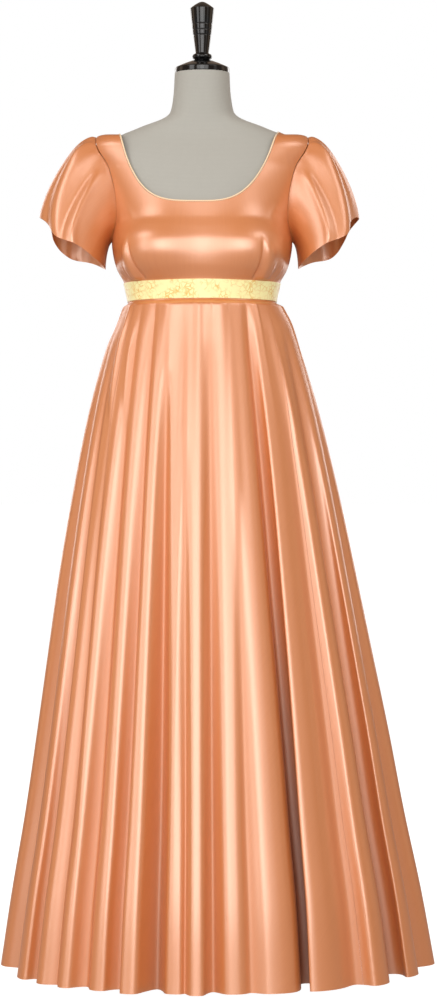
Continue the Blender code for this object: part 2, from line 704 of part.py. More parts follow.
def make_gore(satin, gore):
    """One gore of the skirt, each long edge drawn back by half the seam gap."""
    spans = round((gore.last - gore.first) * COLUMNS_PER_FOLD)
    columns = [gore.first + i / COLUMNS_PER_FOLD for i in range(spans + 1)]

    def place(position, height, lift):
        inward = (position == columns[0]) - (position == columns[-1])
        if inward:
            reach = 0.002
            width = (skirt_point(position + reach, height) - skirt_point(position, height)).length
            position += inward * reach * 0.5 * SEAM_GAP / width
        return along_normal(skirt_point, position, height, lift - CLOTH, 0.004, 0.0005)

    cloth_wall(gore.name, satin, place, columns, SKIRT_ROWS)


# ---- the whole --------------------------------------------------------------------------------
def main():
    for old in list(bpy.data.objects):
        bpy.data.objects.remove(old)
    satin = make_material("peach_satin", (0.80, 0.38, 0.20), 0.35)
    cream = make_material("cream_satin", (0.83, 0.62, 0.42), 0.40)
    gold = make_material("gold_ribbon", (0.95, 0.84, 0.46), 0.50)
    linen = make_material("form_linen", (0.48, 0.45, 0.37), 0.85)
    black = make_material("black_lacquer", (0.010, 0.010, 0.011), 0.15)
    iron = make_material("black_iron", (0.02, 0.02, 0.02), 0.50, 0.9)
    make_torso(linen)
    make_bodice(satin)
    make_piping(cream)
    make_ribbon(gold)
    for hem in SLEEVE_HEMS:
        make_sleeve(satin, hem)
    for gore in GORES:
        make_gore(satin, gore)
    turned_piece("form_neck_cap", black, CAP_PROFILE, 24)
    turned_piece("form_finial", black, FINIAL_PROFILE, 16)
    turned_piece("form_pole", iron, POLE_PROFILE, 12)
    turned_piece("form_base", iron, BASE_PROFILE, 24)


main()
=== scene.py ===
"""Looks of a Regency gown in peach satin on a limbless dress form.

Metres, +Z up. The front faces -Y and +X is the wearer's left. Angles are in degrees round the pole:
0 at the centre front, 90 at the wearer's left side, 180 at the centre back. Cloth is built as thin
shells: a function places a point of the cloth, and a grid of such points makes each face.
"""
import math
from collections import namedtuple

import bpy
import numpy as np
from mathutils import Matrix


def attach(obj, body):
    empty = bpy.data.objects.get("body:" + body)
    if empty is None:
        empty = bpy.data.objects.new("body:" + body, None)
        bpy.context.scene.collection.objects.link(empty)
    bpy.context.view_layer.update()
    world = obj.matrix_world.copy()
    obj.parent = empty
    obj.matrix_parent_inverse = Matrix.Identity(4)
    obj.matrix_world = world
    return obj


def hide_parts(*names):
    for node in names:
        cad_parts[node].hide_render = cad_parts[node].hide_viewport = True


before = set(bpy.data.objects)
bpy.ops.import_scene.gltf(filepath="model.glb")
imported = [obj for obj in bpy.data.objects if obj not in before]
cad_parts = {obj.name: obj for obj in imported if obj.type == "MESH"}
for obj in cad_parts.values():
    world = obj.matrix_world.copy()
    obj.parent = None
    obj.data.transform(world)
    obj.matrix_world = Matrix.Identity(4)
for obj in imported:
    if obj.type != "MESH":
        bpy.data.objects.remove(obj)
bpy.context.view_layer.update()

# ---- Camera, light and floor ------------------------------------------------------------------
# A long lens at hip height looks level at the gown from the front. Tall softboxes stand on both sides
# of the camera, high ones light the shoulders, and weak ones graze the sides and the back. A weak warm
# fill stands for the room, and floor and backdrop are lit to plain white.
SENSOR = 36.0
IMAGE_HEIGHT_PIXELS = 1000
FOCAL_LENGTH_PIXELS = 2727
CAMERA_PLACE = (0.027, -4.5, 0.782)
camera_lens = bpy.data.cameras.new("camera")
camera_lens.sensor_width = SENSOR
camera_lens.lens = FOCAL_LENGTH_PIXELS * SENSOR / IMAGE_HEIGHT_PIXELS
camera = bpy.data.objects.new("camera", camera_lens)
camera.location = CAMERA_PLACE
camera.rotation_euler = (math.radians(90.0), 0.0, 0.0)
bpy.context.scene.collection.objects.link(camera)
bpy.context.scene.camera = camera
bpy.context.scene.view_settings.view_transform = "Standard"


def table(columns, *rows):
    """Rows of values that are read by the names of their columns."""
    row_kind = namedtuple("Row", columns)
    return [row_kind(*row) for row in rows]


def linear(code):
    """A colour written as an sRGB hex value, turned to the linear values that the shaders use."""
    parts = [int(code[i : i + 2], 16) / 255.0 for i in (0, 2, 4)]
    return [p / 12.92 if p <= 0.04045 else ((p + 0.055) / 1.055) ** 2.4 for p in parts] + [1.0]


def set_inputs(tree, node, inputs):
    """Gives inputs a value, or links them to an output or to the first output of a node."""
    for socket, value in inputs.items():
        if isinstance(value, bpy.types.Node):
            value = value.outputs[0]
        if isinstance(value, bpy.types.NodeSocket):
            tree.links.new(value, node.inputs[socket])
        else:
            node.inputs[socket].default_value = value


def add_node(tree, kind, inputs=None, **settings):
    """Adds a node with its settings and links."""
    made = tree.nodes.new("ShaderNode" + kind)
    for name, value in settings.items():
        setattr(made, name, value)
    set_inputs(tree, made, inputs or {})
    return made


def start_material(name):
    """A new material, with its node tree and its shader."""
    material = bpy.data.materials.new(name)
    material.use_nodes = True
    return material, material.node_tree, material.node_tree.nodes["Principled BSDF"]


WHITE = "FFFFFF"
WARM_WHITE = "FFE2C4"
SOFTBOX_AIM = 1.0
SOFTBOXES = table(
    "name azimuth distance height width length power colour",
    ("key_left", -15.5, 4.3, 1.75, 0.9, 2.8, 28.0, WHITE),
    ("key_right", 18.0, 4.3, 1.75, 1.2, 2.8, 34.0, WHITE),
    ("front", 0.0, 5.2, 1.90, 1.6, 3.2, 76.0, WHITE),
    ("high_left", -54.0, 3.2, 4.00, 2.0, 1.6, 36.0, WHITE),
    ("high_right", 54.0, 3.2, 4.00, 2.0, 1.6, 30.0, WHITE),
    ("wide_left", -44.0, 4.0, 1.70, 1.4, 3.0, 40.0, WHITE),
    ("wide_right", 58.0, 4.0, 2.10, 0.9, 3.2, 5.0, WHITE),
    ("side_left", -100.0, 3.0, 1.45, 0.9, 2.4, 5.0, WARM_WHITE),
    ("side_right", 100.0, 3.0, 1.45, 0.9, 2.4, 4.0, WARM_WHITE),
    ("back_left", -150.0, 3.4, 1.70, 1.0, 2.2, 20.0, WHITE),
    ("back_right", 150.0, 3.4, 1.70, 1.0, 2.2, 20.0, WHITE),
)
for box in SOFTBOXES:
    light = bpy.data.lights.new(box.name, "AREA")
    light.shape = "RECTANGLE"
    light.size = box.width
    light.size_y = box.length
    light.energy = box.power
    light.color = linear(box.colour)[:3]
    softbox = bpy.data.objects.new(box.name, light)
    turn = math.radians(box.azimuth)
    softbox.location = (box.distance * math.sin(turn), -box.distance * math.cos(turn), box.height)
    tilt = math.atan2(box.height - SOFTBOX_AIM, box.distance)
    softbox.rotation_euler = (math.radians(90.0) - tilt, 0.0, turn)
    bpy.context.scene.collection.objects.link(softbox)

FILL_STRENGTH = 0.34
world = bpy.data.worlds.new("studio")
world.use_nodes = True
studio = world.node_tree
studio.nodes.clear()
fill = add_node(studio, "Background", {"Color": linear("FFE0C6"), "Strength": FILL_STRENGTH})
backdrop = add_node(studio, "Background", {"Color": linear(WHITE), "Strength": 1.0})
seen = add_node(studio, "LightPath")
room = add_node(studio, "MixShader", {0: seen.outputs["Is Camera Ray"], 1: fill, 2: backdrop})
add_node(studio, "OutputWorld", {"Surface": room})
bpy.context.scene.world = world

# White-painted studio floor: matt, and lit so evenly that it shows no edge and hardly a shadow.
FLOOR_HALF_WIDTH = 400.0
FLOOR_BOUNCE = 0.20
white_floor, floor_tree, floor_shader = start_material("white_studio_floor")
floor_ray = add_node(floor_tree, "LightPath")
floor_glow = add_node(
    floor_tree,
    "MapRange",
    {"Value": floor_ray.outputs["Is Camera Ray"], "To Min": FLOOR_BOUNCE, "To Max": 1.0},
)
set_inputs(
    floor_tree,
    floor_shader,
    {
        "Base Color": linear("8F8D8A"),
        "Roughness": 0.9,
        "Emission Color": linear(WHITE),
        "Emission Strength": floor_glow,
    },
)
floor_mesh = bpy.data.meshes.new("floor")
floor_corners = [
    (x * FLOOR_HALF_WIDTH, y * FLOOR_HALF_WIDTH, 0.0) for x, y in ((-1, -1), (1, -1), (1, 1), (-1, 1))
]
floor_mesh.from_pydata(floor_corners, [], [(0, 1, 2, 3)])
floor_mesh.materials.append(white_floor)
floor = bpy.data.objects.new("floor", floor_mesh)
bpy.context.scene.collection.objects.link(floor)

# ---- Dress form body --------------------------------------------------------------------------
# The form is a hollow shell under a tight cover of plain grey-beige linen. It has a neck, sloped
# shoulders, a small bust and hips, and no arms or legs. The cover is stretched smooth and pinned.
TORSO_BOTTOM = 0.700
NECK_TOP = 1.4855
BODY_POWER = 2.2
BUST_ANGLE = 42.0
BUST_LEVEL = 1.188
BUST_SPREAD_ANGLE = 24.0
BUST_SPREAD_HEIGHT = 0.040
BUST_FULLNESS = 0.017
TORSO_SECTIONS = table(
    "height half_width front back",
    (1.4855, 0.0452, 0.0445, 0.0455),
    (1.4550, 0.0468, 0.0450, 0.0470),
    (1.4388, 0.0487, 0.0455, 0.0480),
    (1.4280, 0.0507, 0.0460, 0.0492),
    (1.4190, 0.0540, 0.0463, 0.0502),
    (1.4120, 0.0620, 0.0466, 0.0512),
    (1.4060, 0.0750, 0.0470, 0.0522),
    (1.3990, 0.0950, 0.0476, 0.0540),
    (1.3920, 0.1125, 0.0486, 0.0560),
    (1.3850, 0.1300, 0.0500, 0.0590),
    (1.3780, 0.1440, 0.0525, 0.0630),
    (1.3700, 0.1565, 0.0560, 0.0685),
    (1.3600, 0.1655, 0.0615, 0.0770),
    (1.3480, 0.1690, 0.0680, 0.0850),
    (1.3300, 0.1670, 0.0765, 0.0940),
    (1.3050, 0.1590, 0.0865, 0.1010),
    (1.2800, 0.1505, 0.0940, 0.1040),
    (1.2400, 0.1415, 0.1030, 0.1040),
    (1.2000, 0.1370, 0.1070, 0.1010),
    (1.1700, 0.1320, 0.1060, 0.0970),
    (1.1400, 0.1235, 0.1020, 0.0920),
    (1.1100, 0.1170, 0.0970, 0.0880),
    (1.0800, 0.1135, 0.0940, 0.0850),
    (1.0300, 0.1130, 0.0940, 0.0850),
    (0.9800, 0.1260, 0.1000, 0.0980),
    (0.9200, 0.1480, 0.1060, 0.1180),
    (0.8500, 0.1630, 0.1080, 0.1310),
    (0.7800, 0.1620, 0.1050, 0.1280),
    (0.7000, 0.1520, 0.0970, 0.1160),
)


def read_table(rows, column, height):
    """A column of a table of heights, highest first, read at any height along a smooth curve."""
    heights = np.array([row.height for row in rows])[::-1]
    values = np.array([getattr(row, column) for row in rows])[::-1]
    slopes = np.gradient(values)
    slopes[1:-1] = (values[2:] - values[:-2]) / (heights[2:] - heights[:-2])
    slopes[0] = (values[1] - values[0]) / (heights[1] - heights[0])
    slopes[-1] = (values[-1] - values[-2]) / (heights[-1] - heights[-2])
    height = np.clip(height, heights[0], heights[-1])
    i = np.clip(np.searchsorted(heights, height, side="right") - 1, 0, len(heights) - 2)
    span = heights[i + 1] - heights[i]
    t = (height - heights[i]) / span
    curve = values[i] * (1 + 2 * t) * (1 - t) ** 2 + values[i + 1] * t * t * (3 - 2 * t)
    return curve + span * t * (1 - t) * (slopes[i] * (1 - t) - slopes[i + 1] * t)


def bell(value, spread):
    """1 in the middle and falling off to either side, in an even round."""
    return np.exp(-((value / spread) ** 2))


def signed_angle(angle):
    """The same direction as an angle from -180 to 180."""
    return (angle + 180.0) % 360.0 - 180.0


def ring_points(angle, height, half_width, depth, power, push=0.0):
    """Points of a rounded section, each at a direction from its centre."""
    sine = np.sin(np.radians(angle))
    cosine = np.cos(np.radians(angle))
    radius = (np.abs(sine / half_width) ** power + np.abs(cosine / depth) ** power) ** (-1 / power)
    radius = radius + push
    return np.stack(np.broadcast_arrays(radius * sine, -radius * cosine, height), axis=-1)


def torso_size(height, towards_front):
    """Half width of the torso, and how deep it is in front or behind."""
    half_width = read_table(TORSO_SECTIONS, "half_width", height)
    front = read_table(TORSO_SECTIONS, "front", height)
    back = read_table(TORSO_SECTIONS, "back", height)
    return half_width, np.where(towards_front, front, back)


def body_points(angle, height):
    """Surface of the form's torso."""
    turn = signed_angle(angle)
    half_width, depth = torso_size(height, np.abs(turn) < 90.0)
    bust = bell(turn - BUST_ANGLE, BUST_SPREAD_ANGLE) + bell(turn + BUST_ANGLE, BUST_SPREAD_ANGLE)
    push = BUST_FULLNESS * bust * bell(height - BUST_LEVEL, BUST_SPREAD_HEIGHT)
    return ring_points(angle, height, half_width, depth, BODY_POWER, push)


def grid_faces(columns, rows, closed):
    """Quads over a grid of vertices that are numbered down each column."""
    i = np.arange(columns if closed else columns - 1)[:, None]
    k = np.arange(rows - 1)[None, :]
    j = (i + 1) % columns
    here = i * rows + k
    beside = j * rows + k
    return np.stack([here, beside, beside + 1, here + 1], -1).reshape(-1, 4)


def make_mesh(name, points, faces, material, uv=None, marks=None):
    """A smooth-shaded object from arrays of points and faces. Marks are values kept at each point."""
    mesh = bpy.data.meshes.new(name)
    mesh.from_pydata(points.reshape(-1, 3).tolist(), [], [list(map(int, face)) for face in faces])
    if uv is not None:
        layer = mesh.uv_layers.new(name="cloth")
        corner_points = np.empty(len(mesh.loops), dtype=np.int32)
        mesh.loops.foreach_get("vertex_index", corner_points)
        layer.data.foreach_set("uv", uv.reshape(-1, 2)[corner_points].astype(np.float32).ravel())
    for mark, values in (marks or {}).items():
        attribute = mesh.attributes.new(mark, "FLOAT", "POINT")
        attribute.data.foreach_set("value", values.astype(np.float32).ravel())
    mesh.shade_smooth()
    mesh.materials.append(material)
    piece = bpy.data.objects.new(name, mesh)
    bpy.context.scene.collection.objects.link(piece)
    return piece


def close_ends(points, faces):
    """Adds a fan over the first and the last ring of a closed grid."""
    columns, rows = points.shape[:2]
    centres = points[:, (0, -1)].mean(axis=0)
    flat = np.concatenate([points.reshape(-1, 3), centres])
    i = np.arange(columns)
    j = (i + 1) % columns
    low = np.stack([j * rows, i * rows, np.full(columns, columns * rows)], -1)
    high = np.stack([i * rows + rows - 1, j * rows + rows - 1, np.full(columns, columns * rows + 1)], -1)
    return flat, [*faces.tolist(), *low.tolist(), *high.tolist()]


# Plain-woven linen, undyed and pressed: a matt cloth with a fine even grid of threads and slubs, the
# places where a thread is thicker and paler. The threads are drawn twice as coarse as they are, to show.
LINEN_THREAD = 0.0011
SLUB_LENGTH = 0.01667
WAVE_BAND = 1 / 3.14
LINEN_WAVE = WAVE_BAND / (2 * LINEN_THREAD)
linen, linen_tree, linen_shader = start_material("plain_weave_linen")
linen_place = add_node(linen_tree, "UVMap", uv_map="cloth")
thread_wave = {"Vector": linen_place, "Scale": LINEN_WAVE, "Distortion": 1.2, "Detail Scale": 40.0}
warp = add_node(linen_tree, "TexWave", thread_wave, bands_direction="X")
weft = add_node(linen_tree, "TexWave", thread_wave, bands_direction="Y")
weave = add_node(
    linen_tree, "Math", {0: warp.outputs["Fac"], 1: weft.outputs["Fac"]}, operation="MULTIPLY"
)
slubs = add_node(
    linen_tree, "TexNoise", {"Vector": linen_place, "Scale": 1 / SLUB_LENGTH, "Detail": 4.0}
)
thread_tone = add_node(
    linen_tree, "MixRGB", {"Fac": slubs, "Color1": linear("A6A6A0"), "Color2": linear("B3B3AC")}
)
weave_tone = add_node(
    linen_tree, "MixRGB", {"Fac": weave, "Color1": linear("A3A29B"), "Color2": thread_tone}
)
weave_relief = add_node(linen_tree, "Bump", {"Height": weave, "Strength": 0.12, "Distance": 0.0004})
set_inputs(
    linen_tree,
    linen_shader,
    {
        "Base Color": weave_tone,
        "Normal": weave_relief,
        "Roughness": 0.88,
        "Specular IOR Level": 0.25,
        "Sheen Weight": 0.15,
        "Sheen Roughness": 0.5,
    },
)

TORSO_SIDES = 168
TORSO_ROWS = 150
TORSO_GIRTH = 0.90
TORSO_EDGE_ANGLE = 60.0
ROW_SHARES = (0.0, 0.12, 0.55, 1.0)
ROW_HEIGHTS = (TORSO_BOTTOM, 1.000, 1.340, NECK_TOP)
torso_heights = np.interp(np.linspace(0.0, 1.0, TORSO_ROWS), ROW_SHARES, ROW_HEIGHTS)[None, :]
torso_turns = np.linspace(0.0, 360.0, TORSO_SIDES, endpoint=False)[:, None]
torso_round = TORSO_GIRTH * signed_angle(torso_turns) / 360.0
torso_uv = np.stack(np.broadcast_arrays(torso_round, torso_heights), axis=-1).reshape(-1, 2)
torso_uv = np.concatenate([torso_uv, [[0.0, TORSO_BOTTOM], [0.0, NECK_TOP]]])
torso_rings = body_points(torso_turns, torso_heights)
torso_points, torso_faces = close_ends(torso_rings, grid_faces(TORSO_SIDES, TORSO_ROWS, True))
torso = make_mesh("form_body_cover", torso_points, torso_faces, linen, torso_uv)
torso.data.set_sharp_from_angle(angle=math.radians(TORSO_EDGE_ANGLE))
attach(torso, "root")
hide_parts("form_torso")

# ---- Neck cap and finial ----------------------------------------------------------------------
# The neck is topped with a turned wooden cap and a turned handle, both dipped in black lacquer, which
# rounds the edges of the turned grooves.
#
# Black lacquer over turned beech: deep black with narrow bright streaks, and a faint ripple where it
# follows the grain.
LACQUER_RIPPLE = 0.00556
lacquer, lacquer_tree, lacquer_shader = start_material("black_lacquered_wood")
lacquer_place = add_node(lacquer_tree, "TexCoord")
grain = add_node(
    lacquer_tree,
    "TexNoise",
    {"Vector": lacquer_place.outputs["Object"], "Scale": 1 / LACQUER_RIPPLE, "Detail": 3.0},
)
lacquer_tone = add_node(
    lacquer_tree, "MixRGB", {"Fac": grain, "Color1": linear("060607"), "Color2": linear("0C0C0D")}
)
ripple = add_node(lacquer_tree, "Bump", {"Height": grain, "Strength": 0.05, "Distance": 0.0003})
set_inputs(
    lacquer_tree,
    lacquer_shader,
    {
        "Base Color": lacquer_tone,
        "Normal": ripple,
        "Roughness": 0.12,
        "IOR": 1.42,
        "Coat Weight": 0.2,
        "Coat Roughness": 0.08,
    },
)

CAP_PROFILE = table(
    "radius height",
    (0.0442, 1.4858),
    (0.0448, 1.4866),
    (0.0448, 1.4936),
    (0.0436, 1.4952),
    (0.0300, 1.5014),
    (0.0190, 1.5056),
    (0.0142, 1.5070),
)
FINIAL_PROFILE = table(
    "radius height",
    (0.0128, 1.5073),
    (0.0136, 1.5090),
    (0.0160, 1.5112),
    (0.0166, 1.5136),
    (0.0158, 1.5160),
    (0.0126, 1.5178),
    (0.0110, 1.5190),
    (0.0146, 1.5474),
    (0.0141, 1.5484),
    (0.0151, 1.5496),
    (0.0160, 1.5562),
    (0.0154, 1.5572),
    (0.0162, 1.5582),
    (0.0169, 1.5658),
    (0.0163, 1.5668),
    (0.0171, 1.5678),
    (0.0198, 1.5930),
    (0.0120, 1.5990),
    (0.0052, 1.6030),
    (0.0020, 1.6040),
)


BEVEL_FROM_ANGLE = 12.0


def make_turned(name, profile, material, sides=96, rounding=0.0006):
    """A solid turned from a profile, its corners rounded by a bevel."""
    radii = np.array([point.radius for point in profile])
    heights = np.array([point.height for point in profile])
    turn = np.linspace(0.0, 2 * np.pi, sides, endpoint=False)[:, None]
    rings = np.stack([radii * np.sin(turn), -radii * np.cos(turn), heights + 0 * turn], axis=-1)
    points, faces = close_ends(rings, grid_faces(sides, len(profile), True))
    piece = make_mesh(name, points, faces, material)
    bevel = piece.modifiers.new("rounded_edges", "BEVEL")
    bevel.width = rounding
    bevel.segments = 3
    bevel.limit_method = "ANGLE"
    bevel.angle_limit = math.radians(BEVEL_FROM_ANGLE)
    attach(piece, "root")
    return piece


cap = make_turned("neck_cap", CAP_PROFILE, lacquer)
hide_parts("form_neck_cap")
finial = make_turned("finial", FINIAL_PROFILE, lacquer)
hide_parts("form_finial")

# ---- Pole and base ----------------------------------------------------------------------------
# Under the skirt a steel tube stands on a cast-iron disc. Both are sprayed with black paint, which
# follows the grain of the casting and shows a dull, slightly mottled shine.
POLE_RADIUS = 0.0125
BASE_RADIUS = 0.140
BASE_TOP = 0.034
SEAM_GAP = 0.0003
POLE_PROFILE = table(
    "radius height",
    (POLE_RADIUS, BASE_TOP + SEAM_GAP),
    (POLE_RADIUS, TORSO_BOTTOM - SEAM_GAP),
)
BASE_PROFILE = table(
    "radius height",
    (BASE_RADIUS, 0.0),
    (BASE_RADIUS, 0.008),
    (BASE_RADIUS - 0.006, 0.014),
    (0.060, 0.021),
    (0.034, 0.026),
    (0.026, BASE_TOP),
)

# Black paint sprayed on cast iron: a dull black, mottled by the pits of the casting.
CASTING_PIT = 0.0025
iron, iron_tree, iron_shader = start_material("black_painted_iron")
iron_place = add_node(iron_tree, "TexCoord")
pits = add_node(
    iron_tree, "TexNoise", {"Vector": iron_place.outputs["Object"], "Scale": 1 / CASTING_PIT, "Detail": 4.0}
)
paint = add_node(iron_tree, "MixRGB", {"Fac": pits, "Color1": linear("141414"), "Color2": linear("242424")})
dents = add_node(iron_tree, "Bump", {"Height": pits, "Strength": 0.3, "Distance": 0.0005})
set_inputs(iron_tree, iron_shader, {"Base Color": paint, "Normal": dents, "Roughness": 0.5})

pole = make_turned("stand_pole", POLE_PROFILE, iron, sides=48)
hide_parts("form_pole")
base = make_turned("stand_base", BASE_PROFILE, iron, sides=128, rounding=0.002)
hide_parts("form_base")

# ---- Bodice -----------------------------------------------------------------------------------
# Front and two backs are cut from heavy peach satin, and meet at the sides, the shoulders and the
# centre back. Two darts rise from the waist seam and shape the front, which is stretched smooth
# between them.
CLOTH = 0.0018
CLOTH_SHELL = 0.0007
BODICE_RADIUS = 0.135
BODICE_EASE = table(
    "height room",
    (1.4000, 0.0004),
    (1.3750, 0.0008),
    (1.3550, 0.0034),
    (1.3300, 0.0040),
    (1.2800, 0.0042),
    (1.2400, 0.0034),
    (1.2200, 0.0066),
    (1.2000, 0.0092),
    (1.1650, 0.0080),
    (1.1430, 0.0034),
    (1.1300, 0.0032),
    (1.1000, 0.0030),
)
WAIST_SEAM = 1.1245
RIBBON_TOP = 1.1396
RIBBON_BOTTOM = 1.109
UNDERARM = 1.207
SHOULDER_TIP = 1.3675
SHOULDER_LINE = 1.405
FRONT_NECK_BOTTOM = 1.262
BACK_NECK_BOTTOM = 1.330
NECK_REACH = {-1: 0.1385, 1: 0.1275}
NECK_POWER = {-1: 4.2, 1: 3.1}
BACK_NECK_POWER = 2.6
ARMHOLE_HALF_DEPTH = 0.045
SIDE_SEAM_RADIUS = 0.140
SIDE_TRIM = math.degrees(0.5 * SEAM_GAP / SIDE_SEAM_RADIUS)
BODICE_OUT = RIBBON_TOP + 0.001

# Woven polyester satin: long floats of smooth yarn lie side by side, so the face is glossy like a hard
# film, with broad cream highlights that stretch across the yarns, and a duller shine where it is pinched
# in the valleys. Deep in a fold its colour is painted darker and redder, a painted shade for the fold's
# shadow. Floats are too fine to show: bundles of them are drawn.
BUNDLE_WIDTH = 0.002381
BUNDLE_LENGTH = 0.07143
CREST_ROUGHNESS = 0.36
VALLEY_ROUGHNESS = 0.58
satin, satin_tree, satin_shader = start_material("peach_polyester_satin")
satin_place = add_node(satin_tree, "UVMap", uv_map="cloth")
floats = add_node(
    satin_tree, "Mapping", {"Vector": satin_place, "Scale": (1 / BUNDLE_WIDTH, 1 / BUNDLE_LENGTH, 1.0)}
)
yarns = add_node(satin_tree, "TexNoise", {"Vector": floats, "Scale": 1.0, "Detail": 3.0})
# The fold mark is painted shade: it turns the satin's colour toward deep brown where a skirt fold lies
# deep.
painted_fold_shade = add_node(satin_tree, "Attribute", attribute_name="fold")
valley = add_node(satin_tree, "Attribute", attribute_name="valley")
face_tone = add_node(
    satin_tree, "MixRGB", {"Fac": yarns, "Color1": linear("CB773D"), "Color2": linear("D38147")}
)
satin_tone_with_painted_shade = add_node(
    satin_tree,
    "MixRGB",
    {"Fac": painted_fold_shade.outputs["Fac"], "Color1": face_tone, "Color2": linear("965029")},
)
gloss = add_node(
    satin_tree,
    "MapRange",
    {"Value": valley.outputs["Fac"], "To Min": CREST_ROUGHNESS, "To Max": VALLEY_ROUGHNESS},
)
yarn_relief = add_node(satin_tree, "Bump", {"Height": yarns, "Strength": 0.05, "Distance": 0.0004})
float_run = add_node(satin_tree, "Tangent", direction_type="UV_MAP", uv_map="cloth")
set_inputs(
    satin_tree,
    satin_shader,
    {
        "Base Color": satin_tone_with_painted_shade,
        "Normal": yarn_relief,
        "Tangent": float_run,
        "Roughness": gloss,
        "IOR": 1.92,
        "Specular Tint": linear("FFF8F0"),
        "Specular IOR Level": 1.0,
        "Anisotropic": 0.35,
        "Metallic": 0.10,
    },
)

# Columns of a panel: where each ends on the neckline (0 to 90) or the armhole (0 to 180), its direction
# at the waist seam, how its line bends on the way up, and how its rows spread.
NECK_COLUMNS = table(
    "end bottom bend rise",
    (0, 0.0, 1.5, 1.0),
    (72, 48.0, 1.5, 1.0),
    (81, 54.0, 1.9, 1.15),
    (90, 61.0, 3.0, 1.3),
)
ARMHOLE_COLUMNS = table(
    "end bottom bend rise",
    (0, 66.0, 3.0, 1.8),
    (20, 68.0, 3.0, 1.7),
    (40, 69.3, 2.9, 1.5),
    (60, 69.8, 3.5, 1.3),
    (80, 70.3, 3.0, 1.1),
    (100, 72.5, 1.5, 1.0),
    (120, 76.7, 1.5, 1.0),
    (140, 81.1, 1.5, 1.0),
    (160, 85.6, 1.5, 1.0),
    (180, 90.0, 1.5, 1.0),
)

# Each dart runs from the waist seam to a point over the bust, as a pinched valley beside a low ramp.
DARTS = table("bottom_angle top_angle top", (-46.5, -50.0, 1.206), (43.0, 41.0, 1.206))
DART_RADIUS = 0.125
DART_HALF_WIDTH = 0.0022
DART_DEPTH = 0.0026
DART_FADE = 0.72
DART_RAMP_TOP = 0.004
DART_RAMP_SPREAD = 0.012
DART_RAMP_RISE = 0.0058
DART_RAMP_END = 3.2
BUST_BRIDGE = 0.0060
BUST_BRIDGE_ANGLE = 22.0
BUST_BRIDGE_HEIGHT = 0.040
BUST_HOLLOW_LEVEL = 1.236
BUST_HOLLOW_FILL = 0.0030
PUFF_RISE = 0.0155
PUFF_ANGLE = 88.0
PUFF_SPREAD = 22.0
PUFF_TOP = (1.366, 1.383)
PUFF_BOTTOM = (1.325, 1.360)


def smooth_step(start, end, value):
    """0 before start, 1 after end, and an even turn between them."""
    t = np.clip((value - start) / (end - start), 0.0, 1.0)
    return t * t * (3 - 2 * t)


def dart_lift(angle, height):
    """Rise and fall of the cloth along the darts: a pinched line, and a ramp that widens downward."""
    lift = 0.0
    for dart in DARTS:
        share = (height - WAIST_SEAM) / (dart.top - WAIST_SEAM)
        line = dart.bottom_angle + (dart.top_angle - dart.bottom_angle) * share
        side = np.radians(signed_angle(angle) - line) * DART_RADIUS
        strength = 1 - smooth_step(DART_FADE, 1.0, share)
        pinch = DART_DEPTH * bell(side, DART_HALF_WIDTH)
        down = 1 - np.clip(share, 0.0, 1.0)
        across = side * math.copysign(1.0, dart.bottom_angle) / (DART_RAMP_TOP + DART_RAMP_SPREAD * down)
        ramp = smooth_step(0.0, 1.0, across) * (1 - smooth_step(1.0, DART_RAMP_END, across))
        lift = lift + (DART_RAMP_RISE * (0.5 + down) * ramp - pinch) * strength
    return lift


def bust_lift(angle, height):
    """Extra room where the tight front spans from bust point to bust point, and at the shoulder's tip."""
    turn = signed_angle(angle)
    points = bell(turn - BUST_ANGLE, BUST_BRIDGE_ANGLE) + bell(turn + BUST_ANGLE, BUST_BRIDGE_ANGLE)
    lift = BUST_BRIDGE * points * bell(height - BUST_LEVEL, BUST_BRIDGE_HEIGHT)
    lift = lift + BUST_HOLLOW_FILL * points * bell(height - BUST_HOLLOW_LEVEL, BUST_BRIDGE_HEIGHT)
    puff = bell(np.abs(turn) - PUFF_ANGLE, PUFF_SPREAD) * smooth_step(*PUFF_BOTTOM, height)
    return lift + PUFF_RISE * puff * (1 - smooth_step(*PUFF_TOP, height))


# Short wrinkles where the bodice is pulled into the waist seam, and one from each armhole to the bust.
BODICE_WRINKLES = table(
    "start_angle start_height end_angle end_height half_width rise",
    (-56.0, 1.139, -58.5, 1.172, 0.0035, 0.0010),
    (-62.0, 1.139, -66.0, 1.166, 0.0030, 0.0012),
    (-68.0, 1.139, -74.0, 1.160, 0.0030, -0.0010),
    (-73.0, 1.139, -80.0, 1.156, 0.0028, 0.0012),
    (52.0, 1.139, 53.0, 1.176, 0.0035, 0.0010),
    (58.0, 1.139, 60.0, 1.170, 0.0030, -0.0009),
    (64.0, 1.139, 68.0, 1.168, 0.0032, 0.0010),
    (71.0, 1.139, 77.0, 1.158, 0.0030, 0.0010),
    (-64.0, 1.262, -50.0, 1.222, 0.0060, 0.0010),
    (62.0, 1.262, 50.0, 1.224, 0.0060, 0.0010),
    (118.0, 1.139, 116.0, 1.170, 0.0035, 0.0010),
    (131.0, 1.139, 130.0, 1.165, 0.0030, -0.0009),
    (-116.0, 1.139, -114.0, 1.172, 0.0035, 0.0010),
    (-134.0, 1.139, -132.0, 1.166, 0.0030, -0.0009),
)
RELIEF_START = (RIBBON_TOP - 0.001, RIBBON_TOP + 0.008)
CREASE_START = (-0.15, 0.25)
CREASE_FADE = (0.6, 1.1)


def crease_lift(creases, angle, height, radius):
    """Rise and fall of the cloth along soft straight lines, each fading at its ends."""
    lift = 0.0
    for line in creases:
        across = np.radians(signed_angle(angle) - line.start_angle) * radius
        along = height - line.start_height
        run_x = math.radians(line.end_angle - line.start_angle) * radius
        run_z = line.end_height - line.start_height
        length = np.hypot(run_x, run_z)
        share = (across * run_x + along * run_z) / length**2
        side = (across * run_z - along * run_x) / length
        swell = line.rise * bell(side, line.half_width)
        lift = lift + swell * smooth_step(*CREASE_START, share) * (1 - smooth_step(*CREASE_FADE, share))
    return lift


